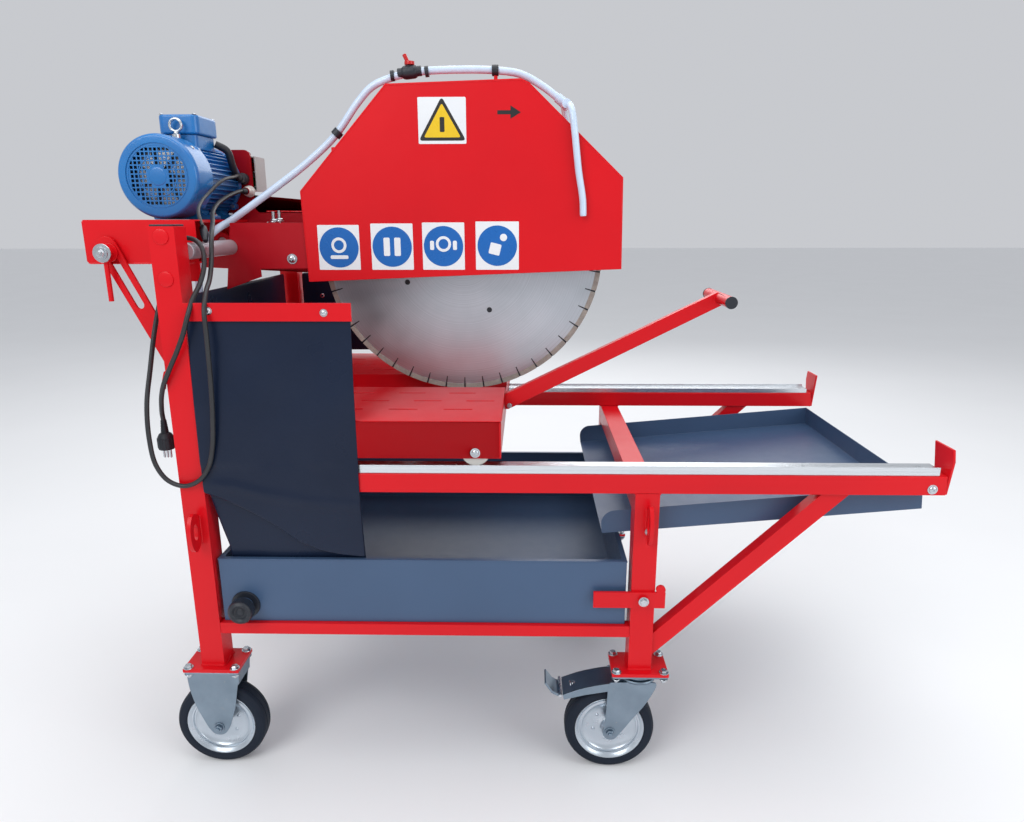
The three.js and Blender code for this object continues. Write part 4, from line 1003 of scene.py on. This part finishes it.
make_water_line()
make_valve()

# ---------------- motor
def make_motor():
    mx, mz = MOTOR

    def turned(profile, steps):
        return revolved(profile, (mx, 0, mz), "y", steps)

    shell = turned([(0, 302), (60, 302), (72, 304), (72, 478), (60, 480), (0, 480)], 72)
    fins = []
    count = 46
    for k in range(count):
        a = TAU * k / count
        if not (62 < degrees(a) < 118 or 240 < degrees(a) < 300):
            fins.append(prism(spoke(MOTOR, a, [(70, -1.3), (81.5, -0.91), (81.5, 0.91), (70, 1.3)]), "xz",
                308, 474))
    shields = [turned([(0, 478), (78, 478), (82, 482), (82, 488), (76, 492), (60, 494), (30, 497),
        (0, 497)], 72), turned([(0, 290.6), (84.5, 290.6), (84.5, 300), (80, 306), (0, 306)], 72)]
    lugs = []
    for u, v in circle(mx, mz, 82, 4, pi / 4):
        lugs += [revolved(rect(0, -8, 9, 8), (u, 485, v), "y", 20),
            revolved(rect(0, -6, 8, 6), (u, 300, v), "y", 20)]
    foot = rounded([(mx - 70, 1220.4), (mx + 70, 1220.4), (mx + 70, 1229), (mx + 46, 1232), (mx + 36, 1252),
        (mx - 36, 1252), (mx - 46, 1232), (mx - 70, 1229)], 5)
    feet = [prism(foot, "xz", y, y + 40) for y in (330, 440)]
    piece("motor_shell", [shell, *shields, *lugs, *feet], BLUE, "head", edge=0.9, replaces=("motor_body",))
    piece("motor_fins", fins, BLUE, "head", edge=0.35)
    box = [
        slab(rounded(rect(-1063, 322, -988, 424), 12), [], "xy", 1374, 1404, 1.2, 2),
        slab(rounded(rect(-1070, 316, -981, 430), 16), [], "xy", 1404.6, 1446, 5, 4),
        block(-1056, 330, 1366, -1000, 416, 1376),
        slab(rounded(rect(-1058, 334, -993, 412), 10), [], "xy", 1445, 1448, 1, 2),
    ]
    piece("terminal_box", box, BLUE, "head", sharp=40)
    screws = [dome_bolt((x, y, 1446), (0, 0, 1), 4.2) for x in (-1062, -989) for y in (324, 422)]
    screws += [hex_bolt((mx + s * 58, y + 20, 1229), (0, 0, 1), 9) for s in (-1, 1) for y in (330, 440)]
    for c, s in circle(0, 0, 1, 4, pi / 4):
        screws.append(hex_bolt((mx + 82 * c, 478, mz + 82 * s), (0, -1, 0), 6, washer=False))
        screws.append(dome_bolt((mx + 88 * c, 272, mz + 88 * s), (c, 0, s), 4))
    piece("motor_screws", screws, ZINC, "head", sharp=35)
    x, y, z = -1024, 304, 1422
    eye = tube([(u, y, v) for u, v in circle(x, z, 13, 36)], 3.2, 12, closed=True)
    stem = revolved([(0, -32), (9, -32), (9, -20), (5, -17), (4.4, -12), (0, -12)], (x, y, z), "z", 20)
    piece("motor_eye_bolt", [eye, stem], ZINC, "head", sharp=40)


def make_fan():
    mx, mz = MOTOR
    cowl = [(80.5, 225.6), (83.5, 226.8), (86.3, 230), (88, 236), (88, 303), (86.4, 303), (86.4, 237),
        (84.6, 231.5), (82, 228.6), (68.5, 227.6), (68.5, 226), (80.5, 225.6)]
    hub = [(0, 226.6), (16, 226.6), (19, 227.6), (20.5, 229), (0, 229)]
    rings = [[(r - 1, 227.4), (r + 1, 227.4), (r + 1, 229), (r - 1, 229), (r - 1, 227.4)] for r in (41, 64)]
    parts = [revolved(line, (mx, 0, mz), "y", steps) for line, steps in
        ((cowl, 84), (hub, 40), (rings[0], 72), (rings[1], 72))]
    piece("fan_cowl_shell", parts, BLUE, "head", sharp=40, replaces=("fan_cowl",))
    pitch, hole, reach = 9.2, 3.2, 8
    grid = [(i * pitch, j * pitch) for i in range(-reach, reach + 1) for j in range(-reach, reach + 1)]
    cells = [rect(mx + u - hole, mz + v - hole, mx + u + hole, mz + v + hole) for u, v in grid
        if 22 < hypot(u, v) < 63]
    grille = slab(circle(mx, mz, 69, 96), cells, "xz", 228.2, 230.0, 0.25)
    piece("fan_grille", grille, BLUE, "head", sharp=40)
    blades = [prism(spoke(MOTOR, TAU * k / 7, rect(20, -2, 70, 2)), "xz", 236, 250) for k in range(7)]
    piece("fan_blades", blades, BLACK, "motor_rotor", edge=0.6)


make_motor()
make_fan()

# ---------------- blade
PIN_HOLES = ((-339, 1006), (-537, 1072.7))


def make_blade():
    sx, sz = SPINDLE
    radius, count = 334.0, 44
    core_r = radius - 9
    step = TAU / count
    slot = [(core_r, -1.7), (core_r - 12, -1.3), (core_r - 18, -1.2), (core_r - 20, 0),
        (core_r - 18, 1.2), (core_r - 12, 1.3), (core_r, 1.7)]
    # Dark fill in each slot: painted shade with some grime, standing in for the black of the see-through
    # gaps.
    grime_and_shade_outline = [(radius - 1, -1.9), (radius - 1, 1.9), (core_r - 18, 1.1), (core_r - 18, -1.1)]
    outline, segments, grime_and_shade_fills = [], [], []
    for i in range(count):
        start, end = i * step, (i + 1) * step
        for k in range(1, 8):
            outline += spoke(SPINDLE, start + step * k / 8, [(core_r, 0)])
        outline += spoke(SPINDLE, end, slot)
        grime_and_shade_fills.append(prism(spoke(SPINDLE, end, grime_and_shade_outline), "xz", MID_Y - 1.75, MID_Y + 1.75))
        a0, a1 = (degrees((i + share) * step) for share in (0.042, 0.958))
        tooth = arc(sx, sz, radius, a0, a1, 6) + arc(sx, sz, radius - 12, a1, a0, 6)
        segments.append(prism(tooth, "xz", MID_Y - 2.3, MID_Y + 2.3))
    holes = [circle(sx, sz, 15.6, 48), *(circle(px, pz, 6.5, 20) for px, pz in PIN_HOLES)]
    disc = slab(outline, holes, "xz", MID_Y - 1.6, MID_Y + 1.6, 0.15)
    piece("blade_disc", disc, BLADE_STEEL, "blade_rotor", sharp=30, replaces=("blade",))
    piece("blade_segments", segments, SEGMENT, "blade_rotor", edge=0.4)
    # the pin holes get the same dark fill: painted shade with some grime
    grime_and_shade_fills += [revolved(rect(0, -1.5, 6.3, 1.5), (px, MID_Y, pz), "y", 24) for px, pz in PIN_HOLES]
    piece("blade_slot_grime_and_shade", grime_and_shade_fills, BLACK, "blade_rotor", sharp=40)
    flange = revolved([(15.6, -24), (23, -24), (24, -23), (24, -13), (27, -12), (46, -9), (49, -7.4),
        (50, -5), (50, -2), (15.6, -2), (15.6, -24)], (sx, MID_Y, sz), "y", 72)
    nut = revolved([(0, -33.6), (19, -33.6), (22, -31), (22, -25), (19, -24.2), (0, -24.2)],
        (sx, MID_Y, sz), "y", 6)
    piece("blade_clamp_flange", [flange, nut], STEEL, "blade_rotor", edge=0.5, replaces=("blade_flange",))


make_blade()

# ---------------- guard: decals, fixings, hem
DECAL_STEP = 0.35  # thickness of one vinyl layer


def decal(name, outline, y, look, holes=()):
    piece(name, slab(outline, list(holes), "xz", y - DECAL_STEP, y, 0.08), look, "head", sharp=40)


def plain_marks(kind, x, z):
    """Plain geometric marks on a round plate, as (outline, holes)."""
    def bar(x0, z0, x1, z1):
        return rounded(rect(x + x0, z + z0, x + x1, z + z1), 3)

    ring = (arc(x, z + 5, 17, 0, 350, 35), [arc(x, z + 5, 11, 0, 350, 35)])
    if kind == 0:
        return [ring, (bar(-20, -25, 20, -17), [])]
    if kind == 1:
        return [(bar(-19, -20, -5, 20), []), (bar(5, -20, 19, 20), [])]
    if kind == 2:
        return [ring, (bar(-30, -8, -21, 12), []), (bar(21, -8, 30, 12), [])]
    slanted = [(x - 20, z - 16), (x + 4, z - 22), (x + 10, z + 2), (x - 14, z + 8)]
    return [(arc(x + 14, z + 18, 8, 0, 345, 23), []), (rounded(slanted, 3), [])]


def make_decals():
    face = 267.95  # just clear of the guard's near sheet
    x0, z0, x1, z1 = -482, 1377, -379, 1471
    decal("decal_plate_top", rounded(rect(x0, z0, x1, z1), 3), face, WHITE_VINYL)
    cx, cz = (x0 + x1) / 2, (z0 + z1) / 2 - 11
    triangles = (("edge", 59, 9, 1, BLACK_VINYL), ("field", 46, 5, 2, YELLOW_VINYL))
    for name, radius, corner, layer, look in triangles:
        triangle = rounded(circle(cx, cz, radius, 3, pi / 2), corner)
        decal(f"decal_triangle_{name}", triangle, face - layer * DECAL_STEP, look)
    decal("decal_triangle_mark", rounded(rect(cx - 5, cz - 12, cx + 5, cz + 18), 2),
        face - 3 * DECAL_STEP, BLACK_VINYL)
    squares = [(-715, 1110, -622, 1208), (-596, 1110, -502, 1211), (-481, 1110, -387, 1213),
        (-362, 1110, -266, 1215)]
    for k, (x0, z0, x1, z1) in enumerate(squares):
        decal(f"decal_plate_{k}", rounded(rect(x0, z0, x1, z1), 2), face, WHITE_VINYL)
        mx, mz = (x0 + x1) / 2, (z0 + z1) / 2
        decal(f"decal_disc_{k}", arc(mx, mz, 44, 0, 355, 71), face - DECAL_STEP, BLUE_VINYL)
        for n, (outline, holes) in enumerate(plain_marks(k, mx, mz)):
            decal(f"decal_mark_{k}_{n}", outline, face - 2 * DECAL_STEP, WHITE_VINYL, holes)
    arrow = [(-312, 1436), (-284, 1436), (-284, 1427), (-262, 1440), (-284, 1454), (-284, 1444),
        (-312, 1444)]
    decal("decal_arrow", arrow, face, BLACK_VINYL)


def make_head_fixings():
    bolts = [dome_bolt((-777, 271.3, 1134), (0, -1, 0), 9)]
    tension = [tube([(-832, 330, 1206), (-832, 330, 1238)], 4, 14),
        tube([(-818, 330, 1206), (-818, 330, 1240)], 4, 14)]
    bolts += [*tension, nut_bolt((-832, 330, 1214), (0, 0, 1), 8), nut_bolt((-818, 330, 1216), (0, 0, 1), 8),
        hex_bolt((-842, 322, 1205), (-1, 0, 0), 8)]
    bolts += [hex_bolt((sx, 504, sz), (0, 1, 0), 8) for sx, sz in ((-1100, 1240), (-1100, 1376),
        (-945, 1376))]
    bolts += [dome_bolt((x, 574, z), (0, 1, 0), 6) for x, z in
        ((-1090, 1352), (-994, 1352), (-1076, 1112), (-340, 1078), (-345, 1214), (-700, 1090), (-640, 1222))]
    bolts += [hex_bolt((u, 497.8, v), (0, -1, 0), 6, washer=False)
        for u, v in circle(*SPINDLE, 38, 4, pi / 4)]
    washer = revolved([(5.6, 0), (18, 0), (18.5, 1), (18, 2.6), (5.6, 2.6), (5.6, 0)],
        (CLAMP[0], 62.8, CLAMP[1]), "y", 36)
    bolts += [washer, nut_bolt((CLAMP[0], 63, CLAMP[1]), (0, -1, 0), 10)]
    piece("head_bolts", bolts, ZINC, "head", sharp=35)
    pin_end = nut_bolt((LINK_PIN[0], 101, LINK_PIN[1]), (0, 1, 0), 9)
    piece("link_pin_nut", pin_end, ZINC, "frame", sharp=35)
    bracket = [block(-846, 318, 1206.5, -810, 342, 1212), block(-846, 318, 1200, -842, 342, 1212)]
    piece("belt_tension_bracket", bracket, RED, "head", edge=0.8)
    seams = [((-1138, 100, 1134.2), (-920, 100, 1134.2), 1.6), ((-910, 276, 1207), (-645, 276, 1207), 1.8),
        ((-905, 498, 1240), (-380, 498, 1236), 1.6)]
    welds = [weld([a, b], radius) for a, b, radius in seams]
    piece("head_welds", welds, RED, "head")
    caps = [slab(rounded(rect(1136, y + 2, 1218, y + 38), 4), [], "xy", 0, 4, 0.8)
        for y in (100, 633)]
    turned = [([(-1141 - t, v, u) for u, v, t in c[0]], c[1]) for c in caps]
    piece("beam_caps", turned, RED, "head", sharp=40)
    outline = [(-739, 1086), (-745, 1279), (-549, 1495), (-262, 1504), (-246, 1496.5), (-42, 1305.5),
        (-39, 1114)]
    hem = [weld([(a[0], 268.6, a[1]), (b[0], 268.6, b[1])], 1.3) for a, b in zip(outline, outline[1:])]
    piece("guard_seams", hem, RED, "head")


make_decals()
make_head_fixings()

# ---------------- pivot shaft, glands and leads
def make_leads():
    px, pz = PIVOT
    shaft = revolved([(0, 50.4), (15.4, 50.4), (16.5, 51.6), (16.5, 721.4), (15.4, 722.6), (0, 722.6)],
        (px, 0, pz), "y", 56)
    piece("pivot_bar", shaft, SHAFT_GREY, "head", sharp=35, replaces=("pivot_shaft",))
    gland = revolved([(5.2, 468.6), (8.5, 470), (10.5, 474), (10.5, 482), (12.5, 483), (12.5, 492),
        (14, 493), (14, 497.8), (0, 497.8)], (-943, 0, 1288), "y", 24)
    sleeve = revolved([(5.0, 444), (5.6, 444), (7.6, 468), (5.0, 468), (5.0, 444)], (-943.4, 0, 1287.4),
        "y", 20)
    piece("cord_gland", gland, NYLON, "head", sharp=35)
    piece("cord_sleeve", sleeve, RUBBER, "head")
    dark = revolved([(0, 466), (9, 466), (11, 470), (11, 482), (14, 484), (14, 497.8), (0, 497.8)],
        (-955, 0, 1318), "y", 24)
    elbow = tube(smooth_path([(-955, 470, 1318), (-957, 452, 1326), (-958, 436, 1350), (-962, 424, 1378),
        (-984, 412, 1392)], 8), 8.5, 16)
    piece("motor_conduit", [dark, elbow], BLACK, "head", sharp=40)
    lead = smooth_path([(-955, 466, 1326), (-942, 400, 1318), (-938, 320, 1306), (-944, 260, 1279),
        (-940, 200, 1256), (-926, 150, 1235), (-908, 120, 1208)], 8)
    piece("pump_lead_upper", tube(lead, 3.6, 12), CORD, "head")
    joint = tube([(-912, 132, 1204), (-904, 118, 1192), (-898, 106, 1178)], [7, 8.4, 5], 16)
    piece("pump_lead_sleeve", joint, BLACK, "head")


make_leads()
